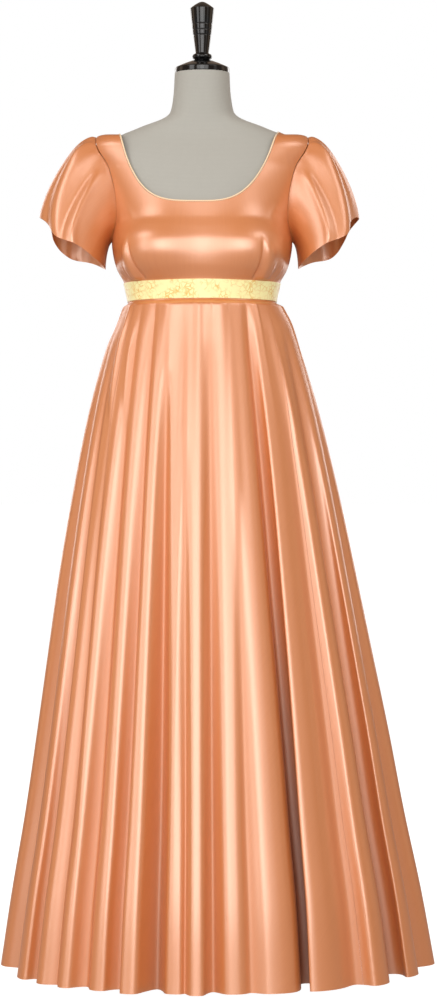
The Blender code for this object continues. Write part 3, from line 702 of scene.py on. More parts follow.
def bodice_lift(angle, height):
    """Distance from the form to the inner face of the bodice."""
    relief = dart_lift(angle, height) + bust_lift(angle, height)
    relief = relief + crease_lift(BODICE_WRINKLES, angle, height, BODICE_RADIUS)
    return read_table(BODICE_EASE, "room", height) + relief * smooth_step(*RELIEF_START, height)


def unit(vectors):
    """The same directions, each of length 1."""
    return vectors / np.maximum(np.linalg.norm(vectors, axis=-1, keepdims=True), 1e-12)


def along_normal(surface, u, v, distance, step_u, step_v):
    """A surface's points, moved out square to the surface, whose slope is read over small steps."""
    across = surface(u + step_u, v) - surface(u - step_u, v)
    down = surface(u, v - step_v) - surface(u, v + step_v)
    return surface(u, v) + unit(np.cross(down, across)) * np.asarray(distance)[..., None]


ANGLE_STEP = 0.5
HEIGHT_STEP = 0.0005


def off_body(angle, height, distance):
    """Points at a distance from the torso."""
    return along_normal(body_points, angle, height, distance, ANGLE_STEP, HEIGHT_STEP)


def on_bodice(angle, height, lift):
    """Points at a distance from the inner face of the bodice."""
    return off_body(angle, height, bodice_lift(angle, height) + lift)


def armhole_edge(turn, side, towards_front, shrink=0.0):
    """Angle and height on the armhole; turn is 0 at the shoulder and 180 at the underarm."""
    half_height = 0.5 * (SHOULDER_TIP - UNDERARM) - shrink
    height = 0.5 * (SHOULDER_TIP + UNDERARM) + half_height * np.cos(np.radians(turn))
    y = (ARMHOLE_HALF_DEPTH - shrink) * np.sin(np.radians(turn))
    half_width, depth = torso_size(height, towards_front)
    x = half_width * (1 - (y / depth) ** BODY_POWER) ** (1 / BODY_POWER)
    angle = np.degrees(np.arctan2(x, y))
    return side * np.where(towards_front, angle, 180.0 - angle), height


HALVINGS = 24


def halve(low, high, is_low):
    """Values between low and high where is_low turns from true to false."""
    for _ in range(HALVINGS):
        middle = 0.5 * (low + high)
        below = is_low(middle)
        low = np.where(below, middle, low)
        high = np.where(below, high, middle)
    return low


def angle_at(x, height, towards_front):
    """Directions in which the bodice, at a height, lies a distance x from the middle plane."""

    def is_short(turn):
        return on_bodice(turn if towards_front else 180.0 - turn, height, CLOTH)[..., 0] < np.abs(x)

    angle = halve(np.zeros_like(x), np.full_like(x, 90.0), is_short)
    return angle if towards_front else 180.0 - angle


def find_neck_corner(side):
    """Height of the shoulder seam's inner end, where the neckline crosses the shoulder ridge."""

    def is_inside(height):
        return on_bodice(np.full(1, 90.0), height, CLOTH)[..., 0] < NECK_REACH[side]

    return float(halve(np.full(1, SHOULDER_LINE), np.full(1, SHOULDER_TIP), is_inside)[0])


NECK_CORNER = {side: find_neck_corner(side) for side in (-1, 1)}


def neckline(share, side, towards_front):
    """Angle and height on the neckline; share is 0 at its middle, front or back, and 1 at the shoulder."""
    bottom = FRONT_NECK_BOTTOM if towards_front else BACK_NECK_BOTTOM
    power = NECK_POWER[side] if towards_front else BACK_NECK_POWER
    height = bottom + (NECK_CORNER[side] - bottom) * share**power
    angle = angle_at(NECK_REACH[side] * share, height, towards_front)
    at_corner = share > 0.9999
    return side * np.where(at_corner, 90.0, angle), height


def neckline_towards(angle, side, towards_front):
    """Angle and height where the neckline lies in a direction, 0 to 90 from the middle plane."""

    def is_short(share):
        reached = np.abs(neckline(share, side, towards_front)[0])
        return (reached if towards_front else 180.0 - reached) < angle

    share = halve(np.zeros_like(angle), np.ones_like(angle), is_short)
    share = np.where(angle <= 0.0, 0.0, np.where(angle >= 90.0, 1.0, share))
    return neckline(share, side, towards_front)


NECK_STEPS = 121
SHOULDER_STEPS = 10
ARMHOLE_STEPS = 41


def read_columns(table, ends):
    """Bottom angle, bend and rise of panel columns that end between those of a table."""
    known = [column.end for column in table]
    return [
        np.interp(ends, known, [getattr(column, name) for column in table])
        for name in ("bottom", "bend", "rise")
    ]


def half_panel(side, towards_front):
    """Columns of one half of the front or back: bottom angle, bend, rise, top angle and top height."""
    neck_ends = np.linspace(0.0, 90.0, NECK_STEPS)
    neck = [*read_columns(NECK_COLUMNS, neck_ends), *neckline_towards(neck_ends, side, towards_front)]
    hole_ends = np.linspace(0.0, 180.0, ARMHOLE_STEPS)
    hole = [*read_columns(ARMHOLE_COLUMNS, hole_ends), *armhole_edge(hole_ends, side, towards_front)]
    share = np.linspace(0.0, 1.0, SHOULDER_STEPS)[1:-1]
    seam = [a[-1] + (b[0] - a[-1]) * share for a, b in zip(neck, hole)]
    bottom, bend, rise, top_angle, top = (np.concatenate(rows) for rows in zip(neck, seam, hole))
    bottom = side * (bottom if towards_front else 180.0 - bottom)
    if not towards_front:
        top_angle = np.where(np.arange(len(top_angle)) == 0, side * 180.0, top_angle)
    return np.stack([bottom, bend, rise, top_angle, top])


# Rows of a panel: those below 0 lie under the ribbon, and 0 to 1 run up to the panel's top edge.
BODICE_ROWS = np.concatenate([np.linspace(-1.0, 0.0, 6)[:-1], np.linspace(0.0, 1.0, 72)])


def bodice_grid(columns, low, high, lift):
    """Points of a bodice panel, kept between two angles so that its seams stay open a hair."""
    bottom, bend, rise, top_angle, top = (values[:, None] for values in columns)
    up = np.clip(BODICE_ROWS, 0.0, 1.0)[None, :]
    under = np.clip(-BODICE_ROWS, 0.0, 1.0)[None, :]
    angle = np.clip(bottom + (top_angle - bottom) * up**bend, low, high)
    height = BODICE_OUT + (top - BODICE_OUT) * (1 - (1 - up) ** rise)
    height = height - under * (BODICE_OUT - WAIST_SEAM - SEAM_GAP)
    return on_bodice(angle, height, lift), angle, height


SHELL_EDGE_ANGLE = 65.0


def make_shell(name, outer, inner, material, uv, marks=None, closed=False):
    """A closed shell of cloth between two grids of points, with its edges folded over."""
    columns, rows = outer.shape[:2]
    count = columns * rows
    faces = grid_faces(columns, rows, closed)
    first = outer.reshape(-1, 3)[faces[len(faces) // 2]]
    facing = np.cross(first[1] - first[0], first[3] - first[0])
    away = (outer - inner).reshape(-1, 3)[faces[len(faces) // 2][0]]
    numbers = np.arange(count).reshape(columns, rows)
    rim = [numbers[:, 0], numbers[:, -1][::-1]]
    if not closed:
        rim = [np.concatenate([numbers[:, 0], numbers[-1, 1:], numbers[-2::-1, -1], numbers[0, -2:0:-1]])]
    bands = []
    for line in rim:
        after = np.roll(line, -1)
        bands.append(np.stack([line, line + count, after + count, after], -1))
    faces = np.concatenate([faces, faces[:, ::-1] + count, *bands])
    if np.dot(facing, away) < 0:
        faces = faces[:, ::-1]
    points = np.concatenate([outer.reshape(-1, 3), inner.reshape(-1, 3)])
    maps = np.concatenate([uv.reshape(-1, 2)] * 2)
    marks = {mark: np.concatenate([values.ravel()] * 2) for mark, values in (marks or {}).items()}
    piece = make_mesh(name, points, faces, material, maps, marks)
    piece.data.set_sharp_from_angle(angle=math.radians(SHELL_EDGE_ANGLE))
    return piece


def make_bodice_panel(name, columns, low, high):
    """One cut piece of the bodice, between two seam angles."""
    outer, angle, height = bodice_grid(columns, low, high, CLOTH)
    inner = bodice_grid(columns, low, high, CLOTH - CLOTH_SHELL)[0]
    uv = np.stack([np.radians(angle) * BODICE_RADIUS, height], -1)
    panel = make_shell(name, outer, inner, satin, uv)
    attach(panel, "root")
    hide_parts(name.replace("satin_", ""))


front_half = half_panel(-1, True)
front_columns = np.concatenate([front_half[:, :0:-1], half_panel(1, True)], axis=1)
make_bodice_panel("satin_bodice_front", front_columns, -90 + SIDE_TRIM, 90 - SIDE_TRIM)
left_half = half_panel(1, False)[:, ::-1]
make_bodice_panel(
    "satin_bodice_back_left", left_half, 90 + SIDE_TRIM, 180 - SIDE_TRIM
)
right_half = half_panel(-1, False)
make_bodice_panel(
    "satin_bodice_back_right", right_half, -180 + SIDE_TRIM, -90 - SIDE_TRIM
)

# ---- Neck piping ------------------------------------------------------------------------------
# The neckline is bound with a narrow bias strip of paler satin, folded round a fine cord, which
# stands on the edge of the front and the backs. Its two ends meet at the centre back.
PIPING_RADIUS = 0.0013
PIPING_SIDES = 14
PIPING_STEPS = 46

# Satin again, cream, cut on the bias and drawn tight over the cord: paler and less glossy than the gown,
# with slanting ribs that catch the light. Real ribs are finer, and these are as coarse as it takes to show.
PIPING_RIB = 0.0027768
cream, cream_tree, cream_shader = start_material("cream_bias_satin")
cream_place = add_node(cream_tree, "UVMap", uv_map="cloth")
ribs = add_node(
    cream_tree,
    "TexWave",
    {"Vector": cream_place, "Scale": math.pi / math.sqrt(50) / PIPING_RIB, "Distortion": 1.0},
    bands_direction="DIAGONAL",
)
rib_tone = add_node(
    cream_tree,
    "MixRGB",
    {"Fac": ribs.outputs["Fac"], "Color1": linear("E9C9A2"), "Color2": linear("F4DDBC")},
)
rib_relief = add_node(
    cream_tree, "Bump", {"Height": ribs.outputs["Fac"], "Strength": 0.15, "Distance": 0.0003}
)
set_inputs(
    cream_tree,
    cream_shader,
    {"Base Color": rib_tone, "Normal": rib_relief, "Roughness": 0.38, "Sheen Weight": 0.1},
)

spokes = np.linspace(0.0, 90.0, PIPING_STEPS)
quarters = [
    neckline_towards(spokes, 1, False),
    [part[-2::-1] for part in neckline_towards(spokes, 1, True)],
    [part[1:] for part in neckline_towards(spokes, -1, True)],
    [part[-2::-1] for part in neckline_towards(spokes, -1, False)],
]
edge_angle = np.concatenate([part[0] for part in quarters])
edge_height = np.concatenate([part[1] for part in quarters])
edge_angle[0] = 180.0 - SIDE_TRIM
edge_angle[-1] = -180.0 + SIDE_TRIM
middle = on_bodice(edge_angle, edge_height, 0.5 * CLOTH)
outward = unit(on_bodice(edge_angle, edge_height, 1.5 * CLOTH) - middle)
along = np.gradient(middle, axis=0)
along[(0, -1), :] = (1.0, 0.0, 0.0)
upward = unit(np.cross(along, outward))
centre = middle + upward * (PIPING_RADIUS + SEAM_GAP)
turns = np.linspace(0.0, 2 * np.pi, PIPING_SIDES, endpoint=False)[:, None, None]
cord = centre + PIPING_RADIUS * (outward * np.cos(turns) + upward * np.sin(turns))
travelled = np.concatenate([[0.0], np.cumsum(np.linalg.norm(np.diff(centre, axis=0), axis=1))])
cord_uv = np.stack(np.broadcast_arrays(travelled, turns[..., 0] * PIPING_RADIUS), -1).reshape(-1, 2)
cord_points, cord_faces = close_ends(cord, grid_faces(PIPING_SIDES, len(middle), True))
cord_uv = np.concatenate([cord_uv, cord_uv[:2]])
piping = make_mesh("neck_edge_piping", cord_points, cord_faces, cream, cord_uv)
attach(piping, "root")
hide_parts("neck_piping")

# ---- Flutter sleeves --------------------------------------------------------------------------
# Each short sleeve is a wide oval of unlined satin. Its head is gathered into the top of the armhole,
# it lies close under the arm, and its free hem hangs open in soft waves.
SLEEVE_SEAM_LENGTH = 0.008
SLEEVE_HEAD_LENGTH = 0.034
SLEEVE_HEM_DROP = 0.012
SLEEVE_HEAD_DROP = 0.040
GATHER_PERIOD = 14.0
GATHER_REACH = 84.0
GATHER_DEPTH = 0.0020
GATHER_START = 0.10
GATHER_FADE = 0.24
SLEEVE_WAVE_DEPTH = 0.005
SLEEVE_WAVES = 5
SLEEVE_WAVE_TURN = 40.0
SLEEVE_RISE = 0.40
SLEEVE_FULLNESS = 0.35
HEAD_POWER = 1.2
HEAD_REACH = 0.55
ARMHOLE_INSET = 0.0009
SLEEVE_COLUMNS = 300
SLEEVE_ROWS = 74
SLEEVE_TRIM = 0.004
SLEEVE_ROW_POWER = 1.1
SLEEVE_TURN_STEP = 0.5
SLEEVE_FALL_STEP = 0.003
SLEEVE_GIRTH = 0.44
SLEEVE_LENGTH = 0.15
HEM_SAGS = table("turn spread depth", (58.0, 34.0, 0.018), (-68.0, 42.0, 0.030))
UP = np.array((0.0, 0.0, 1.0))
SLEEVE_HEMS = table(
    "name side outer_x outer_z inner_x inner_z half_depth",
    ("sleeve_left", 1, 0.254, 1.2500, 0.1580, 1.1640, 0.086),
    ("sleeve_right", -1, 0.263, 1.2500, 0.1590, 1.1630, 0.088),
)

# Soft folds that fall from the gathers: where each starts and ends round the armhole, how far down it
# runs, its half width in degrees and its height, which is negative for a trough.
SLEEVE_FOLDS = table(
    "start_turn end_turn begin end half_width rise",
    (24.0, 52.0, 0.02, 0.95, 13.0, 0.0060),
    (46.0, 76.0, 0.05, 1.10, 8.0, -0.0036),
    (62.0, 94.0, 0.10, 1.00, 7.0, 0.0036),
    (10.0, 26.0, 0.00, 0.80, 7.0, -0.0026),
    (-6.0, -4.0, 0.00, 0.90, 8.0, 0.0026),
    (-24.0, -44.0, 0.02, 1.00, 9.0, 0.0036),
    (-48.0, -72.0, 0.05, 1.10, 8.0, -0.0030),
    (-66.0, -96.0, 0.10, 1.00, 9.0, 0.0028),
)
SLEEVE_FOLD_START = (0.0, 0.35)
SLEEVE_FOLD_FADE = (0.7, 1.2)
SLEEVE_FADE_SHARE = 0.6


def sleeve_points(hem, turn, fall):
    """A sleeve's middle face; turn is 0 over the shoulder, positive to the front; fall is 0 to 1."""
    turn = signed_angle(turn)
    angle, height = armhole_edge(np.abs(turn), hem.side, turn > 0, ARMHOLE_INSET)
    seam = on_bodice(angle, height, 0.5 * CLOTH)
    outer = np.array((hem.side * hem.outer_x, 0.0, hem.outer_z))
    inner = np.array((hem.side * hem.inner_x, 0.0, hem.inner_z))
    cosine = np.cos(np.radians(turn))[..., None]
    sine = np.sin(np.radians(turn))[..., None]
    edge = 0.5 * (outer + inner) + 0.5 * cosine * (outer - inner)
    edge = edge + np.array((0.0, -hem.half_depth, 0.0)) * sine
    for sag in HEM_SAGS:
        edge = edge - UP * (sag.depth * bell(turn - sag.turn, sag.spread))[..., None]
    head = (0.5 + 0.5 * cosine) ** HEAD_POWER
    leave = unit(
        np.concatenate([hem.side + 0 * sine, -SLEEVE_FULLNESS * sine, SLEEVE_RISE * head], axis=-1)
    )
    leave = leave * (SLEEVE_SEAM_LENGTH + (SLEEVE_HEAD_LENGTH - SLEEVE_SEAM_LENGTH) * head)
    drop = SLEEVE_HEM_DROP + (SLEEVE_HEAD_DROP - SLEEVE_HEM_DROP) * head
    arrive = drop * UP
    down = fall[..., None]
    point = seam * (1 - down) ** 3 + (seam + leave) * 3 * down * (1 - down) ** 2
    point = point + (edge + arrive) * 3 * down**2 * (1 - down) + edge * down**3
    spoke = np.concatenate([hem.side * cosine, -sine, 0 * sine], axis=-1)
    level = (1 - smooth_step(0.0, HEAD_REACH, fall))[..., None] * head
    spoke = unit(spoke * (1 - level) + level * UP)
    ripple = GATHER_DEPTH * np.cos(np.radians(360.0 * turn / GATHER_PERIOD))
    ripple = ripple * smooth_step(0.0, GATHER_START, fall) * np.exp(-fall / GATHER_FADE)
    ripple = ripple * np.cos(np.radians(90.0 * np.minimum(np.abs(turn) / GATHER_REACH, 1.0))) ** 2
    wave = SLEEVE_WAVE_DEPTH * fall**2 * (0.5 + 0.5 * cosine[..., 0])
    wave = wave * np.cos(np.radians(SLEEVE_WAVES * turn + SLEEVE_WAVE_TURN * hem.side))
    for fold in SLEEVE_FOLDS:
        share = (fall - fold.begin) / (fold.end - fold.begin)
        line = fold.start_turn + (fold.end_turn - fold.start_turn) * share
        swell = fold.rise * bell(turn - line, fold.half_width) * smooth_step(*SLEEVE_FOLD_START, share)
        wave = wave + swell * (1 - SLEEVE_FADE_SHARE * smooth_step(*SLEEVE_FOLD_FADE, share))
    return point + spoke * (ripple + wave)[..., None]


for hem in SLEEVE_HEMS:
    turn_grid = np.linspace(-180.0, 180.0, SLEEVE_COLUMNS, endpoint=False)[:, None]
    fall_grid = np.linspace(SLEEVE_TRIM, 1 - SLEEVE_TRIM, SLEEVE_ROWS)[None, :] ** SLEEVE_ROW_POWER
    turn_grid, fall_grid = np.broadcast_arrays(turn_grid, fall_grid)

    def sleeve_face(lift):
        """A face of this sleeve, at a distance outside its middle face."""
        return along_normal(
            lambda turn, fall: sleeve_points(hem, turn, fall),
            turn_grid,
            fall_grid,
            -hem.side * lift,
            SLEEVE_TURN_STEP,
            SLEEVE_FALL_STEP,
        )

    sleeve_uv = np.stack([SLEEVE_GIRTH * turn_grid / 360.0, SLEEVE_LENGTH * fall_grid], -1)
    outer_face = sleeve_face(0.5 * CLOTH)
    inner_face = sleeve_face(0.5 * CLOTH - CLOTH_SHELL)
    sleeve = make_shell("satin_" + hem.name, outer_face, inner_face, satin, sleeve_uv, closed=True)
    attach(sleeve, "root")
    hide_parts(hem.name)

# ---- Skirt ------------------------------------------------------------------------------------
# Seven flared gores hang from the raised waist to the floor. The satin is gathered into the waist seam
# and falls in deep rounded folds, some of which lean over their neighbours, down to a narrow hem.
HEM = 0.020
SKIRT_POWER = 2.1
SKIRT_FLARE_START = 1.1083
SKIRT_FLARE_END = 1.0985
WAIST_RADIUS = 0.13
HEM_RADIUS = 0.30
GATHER_TOP = (-0.002, 0.010)
FOLD_TURN_POWER = 2.0
FOLD_LEAD = 0.10
FOLD_GROWTH_SHARE = 0.35
FOLD_GROWTH_POWER = 0.72
FRONT_CREST_POWER = 1.8
SIDE_CREST_POWER = 1.0
CREST_CHANGE = (15.0, 40.0)
TROUGH_ROUNDNESS = 0.20
SHADE_INSETS = (0.027, 0.072)
VALLEY_SHARES = (0.40, 0.90)
VALLEY_START = (0.0, 0.10)
SKIRT_SECTIONS = table(
    "height right left front back",
    (1.0985, 0.129, 0.134, 0.112, 0.104),
    (1.0700, 0.140, 0.149, 0.1168, 0.122),
    (1.0300, 0.158, 0.162, 0.1243, 0.142),
    (0.9300, 0.186, 0.192, 0.1450, 0.174),
    (0.8000, 0.212, 0.224, 0.1715, 0.203),
    (0.6650, 0.235, 0.253, 0.1980, 0.230),
    (0.5300, 0.254, 0.281, 0.2250, 0.255),
    (0.4000, 0.272, 0.308, 0.2500, 0.279),
    (0.2700, 0.291, 0.333, 0.2740, 0.301),
    (0.1400, 0.313, 0.361, 0.298, 0.320),
    (0.0200, 0.331, 0.383, 0.312, 0.335),
)

# Each fold has a crest and, after it, a trough: their directions at the waist and the hem, how far in
# they lie, how far each side leans over, and the share of the fall above the trough that stays smooth.
FOLDS = table(
    "waist hem crest_inset trough_waist trough_hem trough_inset lean_in lean_out begin",
    (-73, -60.5, 0.000, -68.5, -57.0, 0.028, 0.6, 0.4, 0.10),
    (-65, -51.0, 0.000, -60.5, -46.5, 0.016, 0.0, 0.0, 0.20),
    (-58, -42.5, 0.000, -52.0, -37.6, 0.030, 0.5, 0.2, 0.00),
    (-47, -31.5, 0.008, -39.0, -26.4, 0.034, 0.5, 0.4, 0.00),
    (-33, -21.5, 0.000, -26.5, -15.0, 0.054, 0.6, 0.6, 0.10),
    (-21, -7.2, 0.012, -13.0, -4.9, 0.020, 0.0, 0.0, 0.20),
    (-5, -1.8, 0.000, 6.0, 3.9, 0.034, 0.5, 0.2, 0.05),
    (17, 9.8, 0.010, 22.0, 15.2, 0.024, 0.0, 0.2, 0.28),
    (27, 21.5, 0.006, 37.0, 38.5, 0.080, 0.4, 4.0, 0.00),
    (44, 35.0, 0.006, 55.0, 48.6, 0.030, 0.0, 0.5, 0.05),
    (58, 51.8, 0.000, 67.0, 66.5, 0.058, 0.4, 2.4, 0.05),
    (75, 69.0, 0.008, 82.0, 79.0, 0.036, 0.3, 0.3, 0.10),
    (89, 88.5, 0.000, 97.0, 97.5, 0.050, 1.2, 0.3, 0.00),
    (106, 107.0, 0.006, 114.0, 116.0, 0.042, 0.2, 1.0, 0.08),
    (122, 125.0, 0.000, 131.0, 133.5, 0.056, 1.0, 0.4, 0.00),
    (139, 142.0, 0.004, 147.0, 150.0, 0.046, 0.3, 0.3, 0.12),
    (155, 158.5, 0.000, 163.0, 167.0, 0.062, 1.5, 0.3, 0.00),
    (171, 174.0, 0.008, 180.0, 180.0, 0.050, 0.4, 0.4, 0.05),
    (189, 188.0, 0.002, 197.0, 196.0, 0.060, 0.3, 1.4, 0.00),
    (205, 205.0, 0.000, 213.0, 213.5, 0.046, 0.9, 0.2, 0.10),
    (221, 222.5, 0.006, 229.0, 231.0, 0.058, 0.3, 1.2, 0.00),
    (237, 240.0, 0.000, 246.0, 249.0, 0.048, 0.8, 0.4, 0.06),
    (254, 257.5, 0.006, 262.0, 266.0, 0.044, 0.4, 0.4, 0.00),
    (270, 273.5, 0.000, 279.0, 285.5, 0.046, 0.8, 0.4, 0.05),
)

# Small gathers under the ribbon: direction, half width in degrees, how far each stands out and how far
# down it runs. Those of the front are listed one by one, and the same kind goes on round the back.
BACK_GATHERS_START = 78.0
BACK_GATHER_SPACING = 4.3
BACK_GATHER_COUNT = 48
back_lots = np.random.default_rng(17)
GATHERS = table(
    "angle half_width rise length",
    (-26.0, 7.0, 0.0040, 0.150),
    (-2.5, 3.0, 0.0018, 0.200),
    (8.7, 0.9, 0.0014, 0.018),
    (15.0, 7.0, 0.0036, 0.240),
    (21.5, 0.9, -0.0012, 0.014),
    (45.0, 1.3, 0.0016, 0.120),
    *(
        (
            BACK_GATHERS_START + BACK_GATHER_SPACING * step + back_lots.uniform(-1.0, 1.0),
            back_lots.uniform(0.9, 1.9),
            back_lots.choice((-1.0, 1.0)) * back_lots.uniform(0.0010, 0.0022),
            back_lots.uniform(0.030, 0.110),
        )
        for step in range(BACK_GATHER_COUNT)
    ),
)

# Slack creases that run down over the folds.
SKIRT_CREASES = table(
    "start_angle start_height end_angle end_height half_width rise",
    (-66.0, 1.100, -56.0, 0.900, 0.0050, 0.0040),
    (-53.5, 1.040, -46.0, 0.880, 0.0050, 0.0034),
    (54.0, 1.060, 55.0, 0.860, 0.0060, 0.0026),
    (-11.0, 0.95, -9.2, 0.10, 0.0080, 0.0020),
    (45.0, 0.66, 39.5, 0.15, 0.0020, -0.0010),
    (-52.0, 0.82, -40.0, 0.15, 0.0060, 0.0014),
)


# Cross-section of half a fold: a rounded crest, a steeper side and a tight valley. The crests of the
# front are flat and wide, and those at the sides roll over in an even round.
PROFILE_WAY = np.linspace(0.0, 1.0, 201)


def profile_share(crest_power):
    """Share of a fold's depth that is reached at each step from its crest to its valley."""
    left = 1 - PROFILE_WAY
    slope = PROFILE_WAY**crest_power * left / np.hypot(left, TROUGH_ROUNDNESS)
    return np.cumsum(slope) / slope.sum()


FRONT_PROFILE = profile_share(FRONT_CREST_POWER)
SIDE_PROFILE = profile_share(SIDE_CREST_POWER)


def fold_state(position, fall):
    """Angle, inset and share of the way to the valley of the skirt at positions counted in folds."""
    count = len(FOLDS)
    index = np.floor(position).astype(int)
    share = position - index
    column = {name: np.array([getattr(fold, name) for fold in FOLDS], float) for name in FOLDS[0]._fields}
    this = index % count
    after = (index + 1) % count
    lap = 360.0 * (index // count)
    next_lap = 360.0 * ((index + 1) // count)
    turning = (1 - fall) ** FOLD_TURN_POWER
    hem = column["hem"]
    crest = lap + hem[this] + (column["waist"] - hem)[this] * turning
    trough = lap + column["trough_hem"][this]
    trough = trough + (column["trough_waist"] - column["trough_hem"])[this] * turning
    next_crest = next_lap + hem[after] + (column["waist"] - hem)[after] * turning
    begin = column["begin"][this]
    grown = smooth_step(begin - FOLD_LEAD, 1.0, fall)
    spread = np.maximum(0.0, fall - begin) ** FOLD_GROWTH_POWER
    depth = FOLD_GROWTH_SHARE * grown + (1 - FOLD_GROWTH_SHARE) * spread
    depth = column["trough_inset"][this] * depth
    first = share < 0.5
    way = np.where(first, 2 * share, 2 - 2 * share)
    start = np.where(first, crest, next_crest)
    lean = np.where(first, column["lean_in"][this], -column["lean_out"][this])
    angle = start + (trough - start) * way + lean * fall * np.sin(2 * np.pi * way)
    inset = np.where(first, column["crest_inset"][this], column["crest_inset"][after]) * fall
    crest_hem = np.where(first, hem[this], hem[after])
    turned = smooth_step(*CREST_CHANGE, np.abs(signed_angle(crest_hem)))
    blend = (1 - turned) * np.interp(way, PROFILE_WAY, FRONT_PROFILE)
    blend = blend + turned * np.interp(way, PROFILE_WAY, SIDE_PROFILE)
    return angle, inset + (depth - inset) * blend, blend


def skirt_points(position, height):
    """The skirt's outer face."""
    fall = np.maximum((SKIRT_FLARE_START - height) / (SKIRT_FLARE_START - HEM), 0.0)
    angle, inset, _ = fold_state(position, fall)
    band_lift = read_table(BODICE_EASE, "room", height) + CLOTH
    side = np.where(
        np.sin(np.radians(angle)) > 0,
        read_table(SKIRT_SECTIONS, "left", height),
        read_table(SKIRT_SECTIONS, "right", height),
    )
    face = np.where(
        np.cos(np.radians(angle)) > 0,
        read_table(SKIRT_SECTIONS, "front", height),
        read_table(SKIRT_SECTIONS, "back", height),
    )
    below = SKIRT_FLARE_START - height
    turn = signed_angle(angle)
    fine = crease_lift(SKIRT_CREASES, angle, height, WAIST_RADIUS + (HEM_RADIUS - WAIST_RADIUS) * fall)
    for line in GATHERS:
        swell = line.rise * bell(signed_angle(turn - line.angle), line.half_width)
        fine = fine + swell * bell(below, line.length) * smooth_step(*GATHER_TOP, below)
    flared = ring_points(angle, height, side, face, SKIRT_POWER, fine - inset)
    blend = smooth_step(SKIRT_FLARE_START, SKIRT_FLARE_END, height)[..., None]
    return off_body(angle, height, band_lift) * (1 - blend) + flared * blend


SKIRT_HEIGHTS = np.concatenate(
    [
        np.linspace(WAIST_SEAM - SEAM_GAP, SKIRT_FLARE_START, 4)[:-1],
        np.linspace(SKIRT_FLARE_START, 1.060, 24)[:-1],
        np.linspace(1.060, 0.900, 22)[:-1],
        np.linspace(0.900, HEM, 66),
    ]
)[None, :]
SKIRT_COLUMNS_PER_FOLD = 34
POSITION_STEP = 0.004
SEAM_PROBE = 0.002
# Size of the cloth along one fold, and the share of it that is left at the gathered waist.
FOLD_CLOTH = 0.14
WAIST_SHARE = 0.35
GORES = table(
    "name first last flat area",
    ("skirt_front", 1.5, 9.625, (1.05, 1.12), 0.69),
    ("skirt_side_front_left", 9.625, 12.5, (0.52, 1.12), 0.35),
    ("skirt_side_back_left", 12.5, 14.5, (0.36, 1.12), 0.24),
    ("skirt_back_left", 14.5, 17.5, (0.50, 1.12), 0.33),
    ("skirt_back_right", 17.5, 20.5, (0.52, 1.12), 0.34),
    ("skirt_side_back_right", 20.5, 22.5, (0.35, 1.12), 0.23),
    ("skirt_side_front_right", 22.5, 25.5, (0.46, 1.12), 0.31),
)
for gore in GORES:
    spans = round((gore.last - gore.first) * SKIRT_COLUMNS_PER_FOLD)
    positions = np.linspace(gore.first, gore.last, spans + 1)[:, None]
    positions, gore_heights = np.broadcast_arrays(positions, SKIRT_HEIGHTS)
    positions = positions.copy()
    for column, inward in ((0, 1.0), (-1, -1.0)):
        here = skirt_points(positions[column], gore_heights[column])
        beside = skirt_points(positions[column] + SEAM_PROBE, gore_heights[column])
        gap_width = np.linalg.norm(beside - here, axis=-1)
        positions[column] += inward * SEAM_PROBE * 0.5 * SEAM_GAP / gap_width
    outer_face, inner_face = (
        along_normal(skirt_points, positions, gore_heights, lift, POSITION_STEP, HEIGHT_STEP)
        for lift in (0.0, -CLOTH_SHELL)
    )
    gore_fall = np.maximum((SKIRT_FLARE_START - gore_heights) / (SKIRT_FLARE_START - HEM), 0.0)
    _, gore_inset, gore_blend = fold_state(positions, gore_fall)
    # The fold mark paints shade: the deeper the fold, the darker the satin's colour.
    gore_marks = {
        "fold": smooth_step(*SHADE_INSETS, gore_inset),
        "valley": smooth_step(*VALLEY_SHARES, gore_blend) * smooth_step(*VALLEY_START, gore_fall),
    }
    spread = WAIST_SHARE + (1 - WAIST_SHARE) * gore_fall
    gore_uv = np.stack([FOLD_CLOTH * positions * spread, gore_heights], -1)
    panel = make_shell("satin_" + gore.name, outer_face, inner_face, satin, gore_uv, gore_marks)
    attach(panel, "root")
    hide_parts(gore.name)

# ---- Waist ribbon -----------------------------------------------------------------------------
# A pale gold ribbon, 31 mm wide and woven with a lacy all-over figure, covers the waist seam. It is
# sewn down along both edges and its ends meet at the centre back.
RIBBON_THICKNESS = 0.0012
RIBBON_COLUMNS = 720
RIBBON_ROWS = 16
RIBBON_GIRTH = 0.76

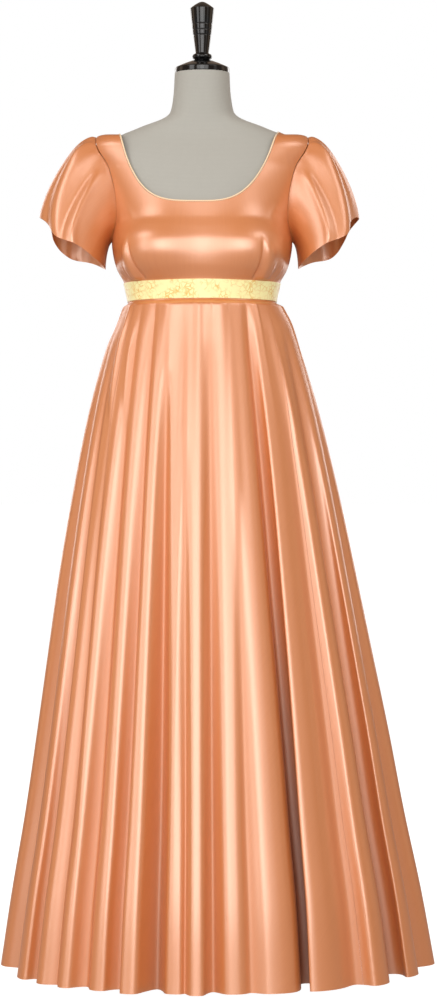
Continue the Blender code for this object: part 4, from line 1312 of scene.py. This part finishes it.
# Jacquard ribbon: a pale gold ground and a raised deeper gold figure of sprigs and net, both softly
# shining, so it glitters in small spots instead of long highlights. The figure is drawn by its outlines.
WANDER_SIZE = 0.011111
PETAL_SIZE = 0.0076923
PATCH_SIZE = 0.026316
gold, gold_tree, gold_shader = start_material("pale_gold_figured_ribbon")
gold_place = add_node(gold_tree, "UVMap", uv_map="cloth")
wander = add_node(gold_tree, "TexNoise", {"Vector": gold_place, "Scale": 1 / WANDER_SIZE, "Detail": 2.0})
bent = add_node(
    gold_tree,
    "MixRGB",
    {"Fac": 0.012, "Color1": gold_place, "Color2": wander.outputs["Color"]},
    blend_type="ADD",
)
petals = add_node(
    gold_tree, "TexVoronoi", {"Vector": bent, "Scale": 1 / PETAL_SIZE}, feature="DISTANCE_TO_EDGE"
)
outline = add_node(
    gold_tree,
    "MapRange",
    {"Value": petals, "From Min": 0.02, "From Max": 0.16, "To Min": 1.0, "To Max": 0.0},
)
patches = add_node(gold_tree, "TexNoise", {"Vector": gold_place, "Scale": 1 / PATCH_SIZE, "Detail": 3.0})
shown = add_node(gold_tree, "MapRange", {"Value": patches, "From Min": 0.42, "From Max": 0.62})
motif = add_node(gold_tree, "Math", {0: outline, 1: shown}, operation="MULTIPLY")
gold_tone = add_node(
    gold_tree, "MixRGB", {"Fac": motif, "Color1": linear("FAF3B4"), "Color2": linear("E9BE66")}
)
raised = add_node(gold_tree, "Bump", {"Height": motif, "Strength": 0.4, "Distance": 0.0004})
set_inputs(
    gold_tree,
    gold_shader,
    {"Base Color": gold_tone, "Normal": raised, "Roughness": 0.42, "Sheen Weight": 0.2},
)

ribbon_reach = 180.0 - SIDE_TRIM
ribbon_angles = np.linspace(-ribbon_reach, ribbon_reach, RIBBON_COLUMNS)[:, None]
ribbon_heights = np.linspace(RIBBON_BOTTOM, RIBBON_TOP, RIBBON_ROWS)[None, :]
ribbon_angles, ribbon_heights = np.broadcast_arrays(ribbon_angles, ribbon_heights)
ribbon_room = read_table(BODICE_EASE, "room", ribbon_heights) + CLOTH + SEAM_GAP
ribbon = make_shell(
    "woven_waist_ribbon",
    off_body(ribbon_angles, ribbon_heights, ribbon_room + RIBBON_THICKNESS),
    off_body(ribbon_angles, ribbon_heights, ribbon_room),
    gold,
    np.stack([RIBBON_GIRTH * ribbon_angles / 360.0, ribbon_heights - RIBBON_BOTTOM], -1),
)
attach(ribbon, "root")
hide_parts("waist_ribbon")
